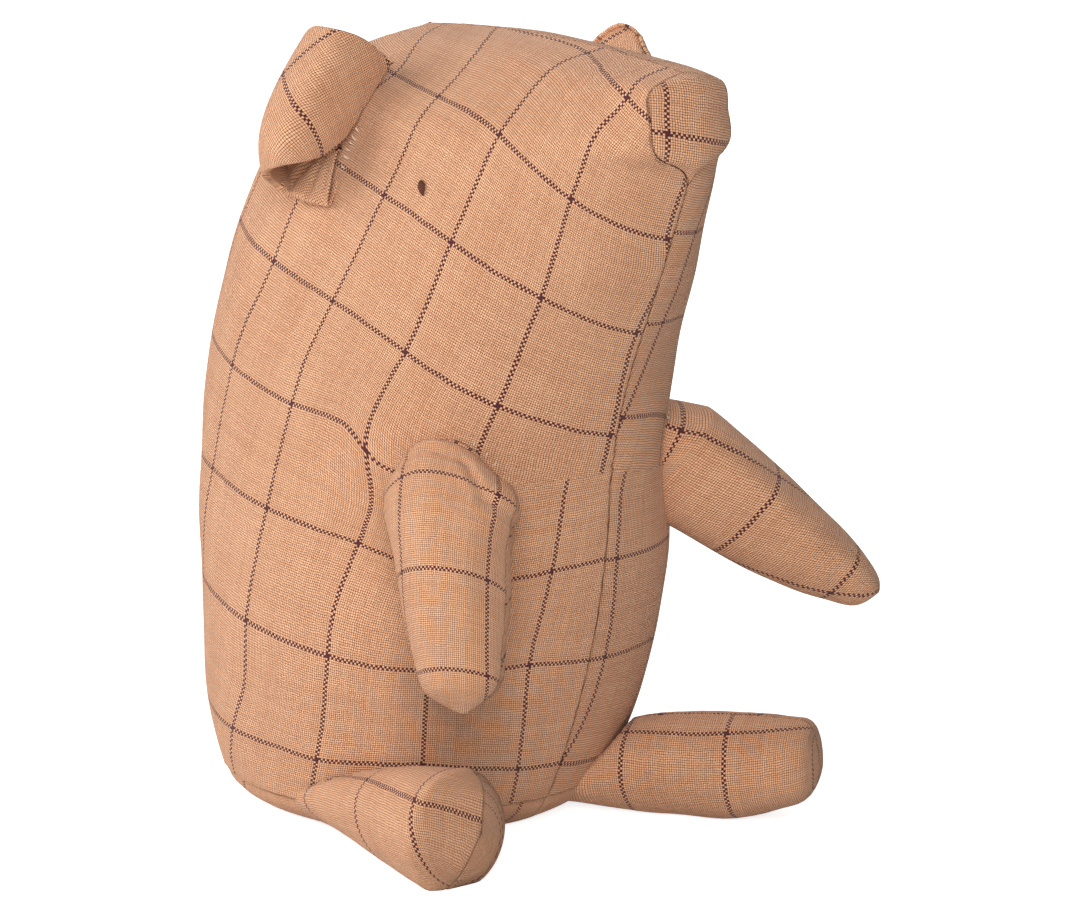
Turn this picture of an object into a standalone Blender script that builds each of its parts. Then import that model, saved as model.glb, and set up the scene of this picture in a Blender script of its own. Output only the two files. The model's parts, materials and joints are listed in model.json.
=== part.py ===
"""A sitting plush pig, sewn from linen and stuffed.

The pig faces -Y and sits on Z = 0, with its middle over the origin. Every cloth
panel is a sheet of its own with its seam allowance turned in, sewn edge to edge
with its neighbours round a stuffing. Arms, legs, ears and tail flap on the seams
that hold them. Lengths are in metres.
"""
import bpy
import bmesh
from math import cos, pi, radians, sin
from mathutils import Matrix, Vector

for old_object in list(bpy.data.objects):
    bpy.data.objects.remove(old_object, do_unlink=True)

# Cloth and sewing
cloth_thickness = 0.0006
seam_gap = 0.0003
seam_allowance = 0.0011
filling_gap = 0.0003
filling_depth = seam_allowance + filling_gap

# Body and head, one stuffed form
body_height = 0.1945
body_width = 0.108
body_depth = 0.126
snout_lean = 0.029
crown_rise = 0.0024
nose_width = 0.0235
nose_swell = 0.0024
fullness_share = 1.08
snout_taper_share = 0.45

# Bag of pellets in the seat
bag_width = 0.058
bag_length = 0.062
bag_height = 0.026
bag_set_back = 0.006
bag_clearance = 0.0004

# Arms
right_arm_length = 0.065
left_arm_length = 0.069
arm_width = 0.026
right_arm_front_swell = 0.0125
right_arm_back_swell = 0.0062
left_arm_front_swell = 0.0066
left_arm_back_swell = 0.0172
arm_standoff = 0.0016
right_arm_drop = radians(-72)
left_arm_drop = radians(-42)
right_arm_swing = radians(8.5)
left_arm_swing = radians(0)

# Legs
leg_width = 0.0272
leg_height = 0.0262
flat_cut = 0.0005
leg_standoff = 0.0009
leg_clearance = 0.0005
right_foot_reach = 0.049
left_foot_reach = 0.0585
right_leg_heading = radians(-94)
left_leg_heading = radians(-55)

# Ears
ear_length = 0.040
ear_width = 0.030
ear_cup = 0.007
ear_bend = 0.004
ear_cup_start_share = 0.25
ear_standoff = 0.0013
right_ear_tilt = radians(30)
left_ear_tilt = radians(22)
ear_twist = radians(50)
right_ear_lean = radians(20)
left_ear_lean = radians(17)

# Eyes, sewn seeds of dark thread
eye_length = 0.0036
eye_width = 0.0021
eye_thickness = 0.0012

# Tail, a rolled curl
tail_radius = 0.0026
tail_tip_radius = 0.0012
tail_curl_radius = 0.0055
tail_stem = 0.006
tail_sidestep = 0.0064
tail_turn = radians(288)
tail_tightening_share = 0.35

# Whip stitches that hold arms and ears
thread_radius = 0.0003
stitch_rise = 0.0028
shoulder_stitches = 9
ear_stitches = 6

# Places on the body: how far up its rows, and how far round from front seam to back seam
base_seam_share = 0.62
seat_ring_share = 0.5
right_shoulder_row_share, right_shoulder_turn_share = 5.36, 0.252
left_shoulder_row_share, left_shoulder_turn_share = 5.14, 0.246
hip_row_share = 0.66
right_hip_turn_share = 0.352
left_hip_turn_share = 0.172
right_ear_row_share, right_ear_turn_share = 7.56, 0.508
left_ear_row_share, left_ear_turn_share = 7.06, 0.560
eye_row_share, eye_turn_share = 7.66, 0.384
tail_row_share = 2.4

# One row for each section of the body, from the floor to the crown seam:
# front and lean of the front seam, its height, back seam, its height, half width,
# where the section is widest, half width of the nose, and rise of the crown
body_row_shares = [
    (0.52, 0.00, 0.000, 0.67, 0.000, 0.70, 0.50, 0.00, 0.0),
    (0.67, 0.00, 0.036, 0.85, 0.036, 0.89, 0.50, 0.00, 0.0),
    (0.83, 0.00, 0.153, 0.94, 0.153, 0.99, 0.50, 0.00, 0.0),
    (0.94, 0.00, 0.281, 0.97, 0.291, 1.03, 0.50, 0.00, 0.0),
    (1.01, 0.00, 0.398, 0.97, 0.434, 1.02, 0.52, 0.00, 0.0),
    (1.05, 0.00, 0.490, 0.95, 0.561, 0.96, 0.55, 0.00, 0.0),
    (1.05, 0.20, 0.602, 0.86, 0.684, 0.90, 0.57, 0.00, 0.0),
    (1.05, 0.57, 0.735, 0.71, 0.801, 0.81, 0.59, 0.00, 0.0),
    (1.05, 0.90, 0.862, 0.52, 0.900, 0.70, 0.60, 0.00, 0.1),
    (1.05, 0.94, 0.903, 0.40, 0.944, 0.62, 0.62, 0.92, 0.3),
    (1.05, 0.87, 0.943, 0.24, 0.970, 0.43, 0.64, 1.00, 0.6),
    (1.05, 0.81, 0.973, 0.08, 0.988, 0.22, 0.66, 0.74, 0.9),
    (1.05, 0.78, 0.987, 0.00, 1.000, 0.00, 0.66, 0.00, 1.0),
]

# Arm from root to tip: how far along, half width and swell
arm_row_shares = [
    (0.00, 0.94, 0.12),
    (0.10, 1.06, 0.56),
    (0.28, 1.08, 0.94),
    (0.50, 1.00, 1.00),
    (0.70, 0.90, 0.88),
    (0.86, 0.72, 0.68),
    (0.96, 0.45, 0.44),
    (1.00, 0.00, 0.00),
]

# Leg from root to foot: how far along, half width, half height and lift of its middle
leg_row_shares = [
    (0.00, 1.08, 0.06, 0.00),
    (0.08, 1.08, 0.36, 0.22),
    (0.22, 1.06, 0.74, 0.60),
    (0.42, 1.02, 0.94, 0.90),
    (0.66, 1.01, 1.00, 0.98),
    (0.87, 1.00, 1.00, 1.00),
    (0.96, 0.83, 0.84, 1.00),
    (1.00, 0.00, 0.00, 1.00),
]

# Ear from base to tip: how far along, half width, and how much of the cup is left
ear_row_shares = [
    (0.00, 0.50, 1.00),
    (0.20, 0.72, 0.95),
    (0.45, 0.95, 0.75),
    (0.68, 1.00, 0.55),
    (0.86, 0.80, 0.40),
    (0.96, 0.46, 0.25),
    (1.00, 0.00, 0.00),
]

# Facets
belly_rows = 13
head_rows = 8
panel_columns = 11
nose_columns = 4
limb_rows = 10
limb_columns = 8
ear_rows = 8
ear_columns = 6
thread_sides = 1
tail_steps = 12
eye_columns = 12
eye_rows = 8
slope_step = 0.002
weld_distance = 0.00002

top_row = len(body_row_shares) - 1
snout_row = 8
panel_rows = belly_rows + head_rows
body_places = [base_seam_share + (snout_row - base_seam_share) * i / belly_rows
               for i in range(belly_rows)]
body_places += [snout_row + (top_row - snout_row) * i / head_rows for i in range(head_rows + 1)]


def new_collection(name):
    """A collection in the scene under a name."""
    collection = bpy.data.collections.new(name)
    bpy.context.scene.collection.children.link(collection)
    return collection


def new_material(name, colour, roughness):
    """A plain finish for one kind of cloth, thread or filling."""
    material = bpy.data.materials.new(name)
    material.use_nodes = True
    shader = material.node_tree.nodes["Principled BSDF"]
    shader.inputs["Base Color"].default_value = (*colour, 1.0)
    shader.inputs["Roughness"].default_value = roughness
    shader.inputs["Metallic"].default_value = 0.0
    return material


pig = new_collection("plush_pig")
cutters = new_collection("cutters")

linen = new_material("linen", (0.62, 0.33, 0.20), 0.9)
filling = new_material("polyester_filling", (0.85, 0.84, 0.80), 0.95)
calico = new_material("bag_calico", (0.75, 0.70, 0.60), 0.9)
eye_thread = new_material("eye_thread", (0.045, 0.018, 0.012), 0.7)
pale_thread = new_material("pale_thread", (0.78, 0.62, 0.48), 0.8)


def smooth_row(rows, place):
    """Values at a place between the rows of a table, on a smooth curve through them."""
    last = len(rows) - 1
    place = min(max(place, 0.0), float(last))
    low = min(int(place), last - 1)
    step = place - low
    before = rows[max(low - 1, 0)]
    here = rows[low]
    after = rows[low + 1]
    beyond = rows[min(low + 2, last)]
    values = []
    for a, b, c, d in zip(before, here, after, beyond):
        bend = (2 * a - 5 * b + 4 * c - d) * step ** 2
        twist = (3 * b - a - 3 * c + d) * step ** 3
        values.append((2 * b + (c - a) * step + bend + twist) / 2)
    return values


def body_point(place, turn, side):
    """A point of the body's cloth: up its rows, round from front seam to back seam, on one side."""
    front, lean, front_height, back, back_height, width, widest, nose, rise = smooth_row(
        body_row_shares, place)
    half_nose = max(nose, 0.0) * nose_width / 2
    half_width = max(max(width, 0.0) * body_width / 2, half_nose)
    angle = pi * turn
    if turn < 0.5:
        fullness = fullness_share + snout_taper_share * max(nose, 0.0)
        across = half_nose + (half_width - half_nose) * sin(angle) ** fullness
        share = widest * (1 - cos(angle))
    else:
        across = half_width * sin(angle)
        share = widest + (1 - widest) * abs(cos(angle))
    front_y = -(front * body_depth / 2 + lean * snout_lean)
    back_y = back * body_depth / 2
    chord = front_height + (back_height - front_height) * share
    height = chord * body_height + rise * crown_rise * 4 * share * (1 - share)
    return Vector((side * across, front_y + (back_y - front_y) * share, height))


def body_outward(place, turn, side):
    """The direction that the body's cloth faces at a point."""
    low = max(place - slope_step, 0.0)
    high = min(place + slope_step, float(top_row))
    near = max(turn - slope_step, 0.0)
    far = min(turn + slope_step, 1.0)
    up = body_point(high, turn, side) - body_point(low, turn, side)
    round_body = body_point(place, far, side) - body_point(place, near, side)
    facing = up.cross(round_body)
    middle = (body_point(place, 0.0, side) + body_point(place, 1.0, side)) / 2
    if facing.dot(body_point(place, turn, side) - middle) < 0:
        facing.negate()
    return facing.normalized()


def body_inside(place, turn, side, depth):
    """A point at a depth under the body's cloth, never past the middle of the body."""
    point = body_point(place, turn, side)
    facing = body_outward(place, turn, side)
    if turn == 0.0 or turn == 1.0:
        facing = Vector((0.0, facing.y, facing.z)).normalized()
        if turn == 0.0 and smooth_row(body_row_shares, place)[7] > 0.0:
            facing = Vector((side, -1.0, 0.0))
    point = point - facing * depth
    if side * point.x < 0:
        point.x = 0.0
    return point


def finish(mesh_object, material, hinge=None, collection=pig):
    """Shade a piece, give it its material and put its origin on the seam it flaps on."""
    mesh = mesh_object.data
    mesh.materials.append(material)
    mesh.shade_smooth()
    mesh.set_sharp_from_angle(angle=radians(50))
    if hinge is not None:
        mesh.transform(Matrix.Translation(-hinge))
        mesh_object.location = hinge
    collection.objects.link(mesh_object)
    return mesh_object


def turn_outward(shape, inside):
    """Make the faces of a sheet or body look away from a point inside it."""
    facing = sum(face.normal.dot(face.calc_center_median() - inside) * face.calc_area()
                 for face in shape.faces)
    if facing < 0:
        bmesh.ops.reverse_faces(shape, faces=list(shape.faces))


def sheet_object(name, rows, inside, closed=False):
    """A sheet through rows of points, with its faces away from the inside."""
    shape = bmesh.new()
    grid = [[shape.verts.new(point) for point in row] for row in rows]
    columns = len(grid[0])
    steps = columns if closed else columns - 1
    for low, high in zip(grid, grid[1:]):
        for i in range(steps):
            j = (i + 1) % columns
            shape.faces.new((low[i], low[j], high[j], high[i]))
    bmesh.ops.remove_doubles(shape, verts=list(shape.verts), dist=weld_distance)
    bmesh.ops.dissolve_degenerate(shape, edges=list(shape.edges), dist=weld_distance)
    shape.normal_update()
    turn_outward(shape, inside)
    mesh = bpy.data.meshes.new(name)
    shape.to_mesh(mesh)
    shape.free()
    return bpy.data.objects.new(name, mesh)


def add_cloth(name, rows, inside, hinge=None, closed=False, outwards=False):
    """A sheet of linen whose thickness lies inside the points, or outside them."""
    sheet = sheet_object(name, rows, inside, closed)
    thickness = sheet.modifiers.new("cloth", "SOLIDIFY")
    thickness.thickness = cloth_thickness
    thickness.offset = 1.0 if outwards else -1.0
    return finish(sheet, linen, hinge)


def add_filling(name, right_rows, left_rows, hinge=None):
    """A stuffed body between matching rows of points on its two sides."""
    shape = bmesh.new()
    right = [[shape.verts.new(point) for point in row] for row in right_rows]
    left = [[shape.verts.new(point) for point in row] for row in left_rows]
    last = len(right[0]) - 1
    for low, high in zip(right, right[1:]):
        for i in range(last):
            shape.faces.new((low[i], low[i + 1], high[i + 1], high[i]))
    for low, high in zip(left, left[1:]):
        for i in range(last):
            shape.faces.new((low[i + 1], low[i], high[i], high[i + 1]))
    for one, other in ((0, 0), (last, last)):
        for k in range(len(right) - 1):
            corners = (right[k][one], right[k + 1][one], left[k + 1][other], left[k][other])
            shape.faces.new(corners if one == 0 else corners[::-1])
    for k, order in ((0, 1), (len(right) - 1, -1)):
        for i in range(last):
            corners = (right[k][i], left[k][i], left[k][i + 1], right[k][i + 1])
            shape.faces.new(corners[::order])
    bmesh.ops.remove_doubles(shape, verts=list(shape.verts), dist=weld_distance)
    bmesh.ops.dissolve_degenerate(shape, edges=list(shape.edges), dist=weld_distance)
    shape.normal_update()
    middle = sum((vert.co for vert in shape.verts), Vector()) / len(shape.verts)
    turn_outward(shape, middle)
    mesh = bpy.data.meshes.new(name)
    shape.to_mesh(mesh)
    shape.free()
    return finish(bpy.data.objects.new(name, mesh), filling, hinge)


def side_panel(name, side):
    """One side of body and head, from front seam to back seam, seams turned in."""
    rows = []
    for i in range(-1, panel_rows + 2):
        place = body_places[min(max(i, 0), panel_rows)]
        row = []
        for j in range(-1, panel_columns + 2):
            turn = min(max(j, 0), panel_columns) / panel_columns
            point = body_point(place, turn, side)
            point.x += side * seam_gap / 2
            inward = Vector()
            if i < 0:
                inward -= Vector((point.x, point.y, 0.0)).normalized()
            if i > panel_rows and j > 0 or i == panel_rows and j > panel_columns:
                inward.z -= 1.0
            if j < 0:
                inward.y += 1.0
            if j > panel_columns or i > panel_rows and j == panel_columns:
                inward.y -= 1.0
            if i >= panel_rows:
                inward.normalize()
            point += inward * seam_allowance
            row.append(point)
        rows.append(row)
    middle = Vector((0.0, 0.0, body_height / 2))
    return add_cloth(name, rows, middle)


def nose_panel():
    """The flat shield of the snout, set in between the side panels."""
    rows = []
    for i in range(head_rows + 1):
        front = body_point(body_places[belly_rows + i], 0.0, 1)
        half = max(front.x - seam_gap / 2, 0.0)
        if i == 0:
            front.z += seam_gap
        if i == head_rows:
            front.z -= seam_gap
        row = []
        for j in range(nose_columns + 1):
            across = 2 * j / nose_columns - 1
            swell = nose_swell * (1 - across ** 2) if half > 0.0 else 0.0
            row.append(Vector((half * across, front.y - swell, front.z)))
        rows.append(row)
    return add_cloth("nose_panel", rows, Vector((0.0, 0.0, body_height)))


def base_ring(place, scale, height, inward):
    """One ring round the base, shrunk about its middle or drawn in by a length."""
    points = []
    count = 2 * panel_columns
    for j in range(count):
        side = -1 if j < panel_columns else 1
        turn = j / panel_columns if j < panel_columns else 2 - j / panel_columns
        point = body_point(place, turn, side)
        flat = Vector((point.x, point.y, 0.0))
        flat = flat * scale - flat.normalized() * inward
        flat.z = height
        points.append(flat)
    return points


def base_panel():
    """The seat: an oval of linen that turns up to the base seam."""
    rim_height = body_point(base_seam_share, 0.5, 1).z - seam_gap
    turn_height = body_point(base_seam_share / 2, 0.5, 1).z
    rings = [
        base_ring(base_seam_share, 1.0, rim_height, seam_allowance),
        base_ring(base_seam_share, 1.0, rim_height, 0.0),
        base_ring(base_seam_share / 2, 1.0, turn_height, 0.0),
        base_ring(0.0, 1.0, 0.0, 0.0),
        base_ring(0.0, seat_ring_share, 0.0, 0.0),
        base_ring(0.0, 0.0, 0.0, 0.0),
    ]
    return add_cloth("base_panel", rings, Vector((0.0, 0.0, body_width)), closed=True)


def seat_bag(name, grow, material, collection):
    """The pellet bag, or the hollow it lies in when grown by a clearance."""
    shape = bmesh.new()
    bmesh.ops.create_cube(shape, size=1.0)
    size = Vector((bag_width, bag_length, bag_height)) + Vector((1.0, 1.0, 1.0)) * 2 * grow
    bmesh.ops.scale(shape, vec=size, verts=list(shape.verts))
    bmesh.ops.subdivide_edges(shape, edges=list(shape.edges), cuts=1, use_grid_fill=True)
    middle = Vector((0.0, bag_set_back, cloth_thickness + filling_gap + bag_height / 2))
    bmesh.ops.translate(shape, vec=middle, verts=list(shape.verts))
    mesh = bpy.data.meshes.new(name)
    shape.to_mesh(mesh)
    shape.free()
    bag = bpy.data.objects.new(name, mesh)
    rounding = bag.modifiers.new("rounding", "SUBSURF")
    rounding.levels = 2
    rounding.render_levels = 2
    return finish(bag, material, collection=collection)


def body_filling():
    """The filling of body and head, hollowed from below for the pellet bag."""
    sides = []
    last = panel_rows - 1
    for side in (-1, 1):
        rows = []
        for i in range(-1, last + 1):
            place = body_places[i] if i >= 0 else 0.0
            row = []
            for j in range(panel_columns + 1):
                point = body_inside(place, j / panel_columns, side, filling_depth)
                if i < 0:
                    shrink = 1 - 2 * filling_depth / body_width
                    point = body_point(place, j / panel_columns, side) * shrink
                    point.z = filling_depth
                row.append(point)
            rows.append(row)
        sides.append(rows)
    stuffing = add_filling("body_stuffing", sides[0], sides[1])
    hollow = seat_bag("seat_hollow_cutter", bag_clearance, calico, cutters)
    hollow.hide_render = True
    hollow.display_type = "WIRE"
    cut = stuffing.modifiers.new("seat_hollow", "BOOLEAN")
    cut.operation = "DIFFERENCE"
    cut.object = hollow
    return stuffing


class Limb:
    """A stuffed limb: a root line that it flaps on, a heading and its rows of sections."""

    def __init__(self, root, axis, heading, up, length, half_width, swells, rows, lift=0.0):
        self.root = root
        self.axis = axis
        self.heading = heading
        self.up = up
        self.length = length
        self.half_width = half_width
        self.swells = swells
        self.rows = rows
        self.lift = lift
        self.foot_axis = up.cross(heading).normalized()
        if self.foot_axis.dot(axis) < 0:
            self.foot_axis.negate()

    def middle(self, place):
        """The middle of the section at a place from root, 0, to tip, 1."""
        values = smooth_row(self.rows, place * (len(self.rows) - 1))
        raised = self.lift * values[3] if len(values) > 3 else 0.0
        return self.root + self.heading * self.length * values[0] + self.up * raised

    def point(self, place, angle):
        """A point of the limb's cloth, round from one edge of the section."""
        values = smooth_row(self.rows, place * (len(self.rows) - 1))
        along = min(max(values[0], 0.0), 1.0)
        across = (self.axis * (1 - along) + self.foot_axis * along).normalized()
        width = max(values[1], 0.0) * self.half_width
        swell = max(values[2], 0.0) * self.swells[0 if sin(angle) >= 0 else 1]
        return self.middle(place) + across * width * cos(angle) + self.up * swell * sin(angle)

    def outward(self, place, angle):
        """The direction that the limb's cloth faces."""
        if place >= 1.0:
            return self.heading
        low = max(place - slope_step, 0.0)
        high = min(place + slope_step, 1.0)
        along = self.point(high, angle) - self.point(low, angle)
        around = self.point(place, angle + slope_step) - self.point(place, angle - slope_step)
        facing = along.cross(around)
        if facing.dot(self.point(place, angle) - self.middle(place)) < 0:
            facing.negate()
        return facing.normalized()


def on_floor(point, depth):
    """Keep a point of a leg above the floor, or at a depth inside cloth that rests on it."""
    return Vector((point.x, point.y, max(point.z, depth)))


def beside_body(point, depth):
    """Keep a point of a leg clear of the body that swells over it, at a depth inside its cloth."""
    place = 0.0
    for row in range(1, snout_row):
        low = body_point(row - 1, 0.5, 1).z
        high = body_point(row, 0.5, 1).z
        if low <= point.z < high:
            place = row - 1 + (point.z - low) / (high - low)
    front = body_point(place, 0.0, 1).y
    back = body_point(place, 1.0, 1).y
    gap = leg_clearance + depth
    half_width = body_point(place, 0.5, 1).x + gap
    half_depth = (back - front) / 2 + gap
    middle = (front + back) / 2
    reach = ((point.x / half_width) ** 2 + ((point.y - middle) / half_depth) ** 2) ** 0.5
    if reach >= 1.0:
        return point
    return Vector((point.x / reach, middle + (point.y - middle) / reach, point.z))


def limb_panel(name, limb, start, floor=False):
    """Half of a limb's cloth, from the seam at one angle to the seam opposite."""
    rows = []
    seam_side = limb.point(0.5, start + pi / 2) - limb.middle(0.5)
    seam_side = seam_side.normalized()
    for i in range(limb_rows + 1):
        place = i / limb_rows
        row = []
        for j in range(-1, limb_columns + 2):
            angle = start + pi * min(max(j, 0), limb_columns) / limb_columns
            point = limb.point(place, angle)
            if floor:
                point = beside_body(on_floor(point, 0.0), 0.0)
            point += seam_side * seam_gap / 2
            if j < 0 or j > limb_columns:
                target = limb.middle(place * (1 - 1 / limb_rows))
                inward = target - limb.point(place, angle)
                inward -= seam_side * inward.dot(seam_side)
                reach = min(seam_allowance, inward.length / 2)
                point += inward.normalized() * reach
            row.append(point)
        rows.append(row)
    return add_cloth(name, rows, limb.middle(0.5), hinge=limb.root)


def limb_filling(name, limb, start, first_row, floor=False):
    """A limb's filling, from where it swells to its tip."""
    halves = []
    for turn in (1, -1):
        rows = []
        for i in range(first_row, limb_rows + 1):
            place = i / limb_rows
            row = []
            for j in range(limb_columns + 1):
                angle = start + turn * pi * j / limb_columns
                point = limb.point(place, angle) - limb.outward(place, angle) * filling_depth
                if floor:
                    point = beside_body(on_floor(point, filling_depth), filling_depth)
                row.append(point)
            rows.append(row)
        halves.append(rows)
    return add_filling(name, halves[0], halves[1], hinge=limb.root)


def arm(name, side, row, turn, length, drop, swing, swells):
    """An arm that flaps on the line where its flattened top is sewn to the body."""
    seat = body_point(row, turn, side)
    facing = body_outward(row, turn, side)
    out = Vector((facing.x, facing.y, 0.0)).normalized()
    axis = Vector((-out.y, out.x, 0.0))
    heading = out * cos(drop) + Vector((0.0, 0.0, sin(drop)))
    up = Vector((0.0, 0.0, cos(drop))) - out * sin(drop)
    heading = heading * cos(swing) - axis * side * sin(swing)
    limb = Limb(seat + out * arm_standoff, axis, heading, up, length, arm_width / 2,
                swells, arm_row_shares)
    limb_panel(name + "_outer_panel", limb, 0.0)
    limb_panel(name + "_inner_panel", limb, pi)
    limb_filling(name + "_stuffing", limb, 0.0, 1)
    return limb


def leg(name, side, turn, heading_angle, foot_reach):
    """A leg that lies on the floor, flattened where it is sewn into the base seam."""
    seat = body_point(hip_row_share, turn, side)
    facing = body_outward(hip_row_share, turn, side)
    out = Vector((facing.x, facing.y, 0.0)).normalized()
    axis = Vector((-out.y, out.x, 0.0))
    heading = Vector((cos(heading_angle), sin(heading_angle), 0.0))
    root = seat + out * leg_standoff
    lift = leg_height / 2 - flat_cut - root.z
    half_height = leg_height / 2
    limb = Limb(root, axis, heading, Vector((0.0, 0.0, 1.0)), foot_reach, leg_width / 2,
                (half_height, half_height), leg_row_shares, lift)
    outer_start = pi / 2 if limb.axis.dot(Vector((side, 0.0, 0.0))) < 0 else -pi / 2
    limb_panel(name + "_outer_panel", limb, outer_start, floor=True)
    limb_panel(name + "_inner_panel", limb, outer_start + pi, floor=True)
    limb_filling(name + "_stuffing", limb, outer_start, 3, floor=True)
    return limb


def ear(name, side, row, turn, tilt_angle, lean):
    """An ear of two layers of linen, cupped, standing on the head."""
    seat = body_point(row, turn, side)
    facing = body_outward(row, turn, side)
    fore = Vector((0.0, 0.0, 1.0)).cross(facing).normalized() * side
    tangent = facing.cross(fore).normalized()
    if tangent.z < 0:
        tangent.negate()
    tilt = Matrix.Rotation(tilt_angle * side, 3, facing)
    tangent = tilt @ tangent
    fore = tilt @ fore
    rise = tangent * cos(lean) + facing * sin(lean)
    out = facing * cos(lean) - tangent * sin(lean)
    root = seat + facing * ear_standoff

    def ear_point(place, across):
        """A point midway between the ear's two layers."""
        along, width, cup = smooth_row(ear_row_shares, place * (len(ear_row_shares) - 1))
        half_width = max(width, 0.0) * ear_width / 2
        turned = fore * cos(ear_twist * along) + out * sin(ear_twist * along)
        sideways = turned * half_width * across
        cupped = ear_cup * cup * across ** 2 * min(place / ear_cup_start_share, 1.0)
        bent = ear_bend * along ** 2
        return root + rise * ear_length * along + sideways + out * (cupped + bent)

    def layer(layer_name, way):
        """One layer of the ear, lying off the middle by half a seam gap."""
        rows = []
        for i in range(ear_rows + 1):
            row = []
            for j in range(ear_columns + 1):
                across = 2 * j / ear_columns - 1
                row.append(ear_point(i / ear_rows, across) + out * way * seam_gap / 2)
            rows.append(row)
        inside = ear_point(0.5, 0.0) - out * way * ear_length
        add_cloth(layer_name, rows, inside, hinge=root, outwards=True)

    layer(name + "_front_layer", 1)
    layer(name + "_back_layer", -1)
    return root, fore, rise


def add_tube(name, points, radii, material, hinge=None):
    """A closed round tube along points, one body, made into a mesh."""
    curve = bpy.data.curves.new(name, "CURVE")
    curve.dimensions = "3D"
    curve.bevel_depth = 1.0
    curve.bevel_resolution = thread_sides
    curve.use_fill_caps = True
    spline = curve.splines.new("POLY")
    spline.points.add(len(points) - 1)
    for knot, point, radius in zip(spline.points, points, radii):
        knot.co = (*point, 1.0)
        knot.radius = radius
    guide = bpy.data.objects.new(name + "_guide", curve)
    cutters.objects.link(guide)
    depsgraph = bpy.context.evaluated_depsgraph_get()
    mesh = bpy.data.meshes.new_from_object(guide.evaluated_get(depsgraph))
    bpy.data.objects.remove(guide, do_unlink=True)
    mesh.name = name
    shape = bmesh.new()
    shape.from_mesh(mesh)
    bmesh.ops.remove_doubles(shape, verts=list(shape.verts), dist=weld_distance)
    bmesh.ops.recalc_face_normals(shape, faces=list(shape.faces))
    shape.to_mesh(mesh)
    shape.free()
    mesh.materials.clear()
    return finish(bpy.data.objects.new(name, mesh), material, hinge)


def eye(name, side):
    """A seed of dark stitches on the side of the head."""
    seat = body_point(eye_row_share, eye_turn_share, side)
    facing = body_outward(eye_row_share, eye_turn_share, side)
    shape = bmesh.new()
    bmesh.ops.create_uvsphere(shape, u_segments=eye_columns, v_segments=eye_rows, radius=1.0)
    half_sizes = Vector((eye_width, eye_length, eye_thickness)) / 2
    bmesh.ops.scale(shape, vec=half_sizes, verts=list(shape.verts))
    mesh = bpy.data.meshes.new(name)
    shape.to_mesh(mesh)
    shape.free()
    mesh.transform(facing.to_track_quat("Z", "Y").to_matrix().to_4x4())
    seed = bpy.data.objects.new(name, mesh)
    seed.location = seat + facing * (eye_thickness / 2 + seam_gap)
    return finish(seed, eye_thread)


def shoulder_stitching(name, limb, side, row, middle_turn):
    """Whip stitches on the body, just above the line where the arm is sewn on."""
    points = []
    lift = thread_radius + seam_gap
    count = 2 * shoulder_stitches
    half_line = limb.half_width * arm_row_shares[0][1]
    row_height = body_point(row + 0.5, 0.0, side).z - body_point(row - 0.5, 0.0, side).z
    quarter = body_point(row, 0.0, side) - body_point(row, 0.5, side)
    for k in range(count + 1):
        across = 2 * k / count - 1
        rise = arm_standoff + (stitch_rise if k % 2 else 0.0)
        turn = middle_turn + across * half_line / quarter.length / 2
        place = row + rise / row_height
        point = body_point(place, turn, side)
        points.append(point + body_outward(place, turn, side) * lift)
    return add_tube(name, points, [thread_radius] * len(points), pale_thread)


def ear_stitching(name, side, row, middle_turn):
    """Whip stitches on the head, along the base of the ear."""
    points = []
    lift = thread_radius + seam_gap
    count = 2 * ear_stitches
    half_line = ear_row_shares[0][1] * ear_width / 2
    row_height = body_point(row + 0.5, 0.5, side).z - body_point(row - 0.5, 0.5, side).z
    depth = body_point(row, 1.0, side) - body_point(row, 0.5, side)
    for k in range(count + 1):
        across = 2 * k / count - 1
        drop = ear_standoff + thread_radius + (stitch_rise if k % 2 else 0.0)
        turn = middle_turn - across * half_line / depth.length / 2
        place = row - drop / row_height
        point = body_point(place, turn, side)
        points.append(point + body_outward(place, turn, side) * lift)
    return add_tube(name, points, [thread_radius] * len(points), pale_thread)


def tail():
    """A rolled curl of linen on the back seam."""
    seat = body_point(tail_row_share, 1.0, 1)
    facing = body_outward(tail_row_share, 1.0, 1)
    back = Vector((0.0, facing.y, 0.0)).normalized()
    start = seat + back * (seam_gap + seam_gap)
    points = [start]
    curl_middle = start + back * tail_stem + Vector((0.0, 0.0, tail_curl_radius))
    for k in range(tail_steps + 1):
        share = k / tail_steps
        angle = -pi / 2 + share * tail_turn
        radius = tail_curl_radius * (1 - tail_tightening_share * share)
        offset = back * cos(angle) * radius + Vector((0.0, 0.0, sin(angle) * radius))
        offset.x = tail_sidestep * share
        points.append(curl_middle + offset)
    radii = [tail_radius + (tail_tip_radius - tail_radius) * k / (len(points) - 1)
             for k in range(len(points))]
    add_tube("tail", points, radii, linen, hinge=start)
    return start


side_panel("right_side_panel", -1)
side_panel("left_side_panel", 1)
nose_panel()
base_panel()
body_filling()
seat_bag("pellet_bag", 0.0, calico, pig)
right_shoulder = (right_shoulder_row_share, right_shoulder_turn_share)
left_shoulder = (left_shoulder_row_share, left_shoulder_turn_share)
right_arm = arm("right_arm", -1, *right_shoulder, right_arm_length, right_arm_drop,
                right_arm_swing, (right_arm_front_swell, right_arm_back_swell))
left_arm = arm("left_arm", 1, *left_shoulder, left_arm_length, left_arm_drop,
               left_arm_swing, (left_arm_front_swell, left_arm_back_swell))
right_leg = leg("right_leg", -1, right_hip_turn_share, right_leg_heading, right_foot_reach)
left_leg = leg("left_leg", 1, left_hip_turn_share, left_leg_heading, left_foot_reach)
right_ear_place = (right_ear_row_share, right_ear_turn_share)
left_ear_place = (left_ear_row_share, left_ear_turn_share)
right_ear = ear("right_ear", -1, *right_ear_place, right_ear_tilt, right_ear_lean)
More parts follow.
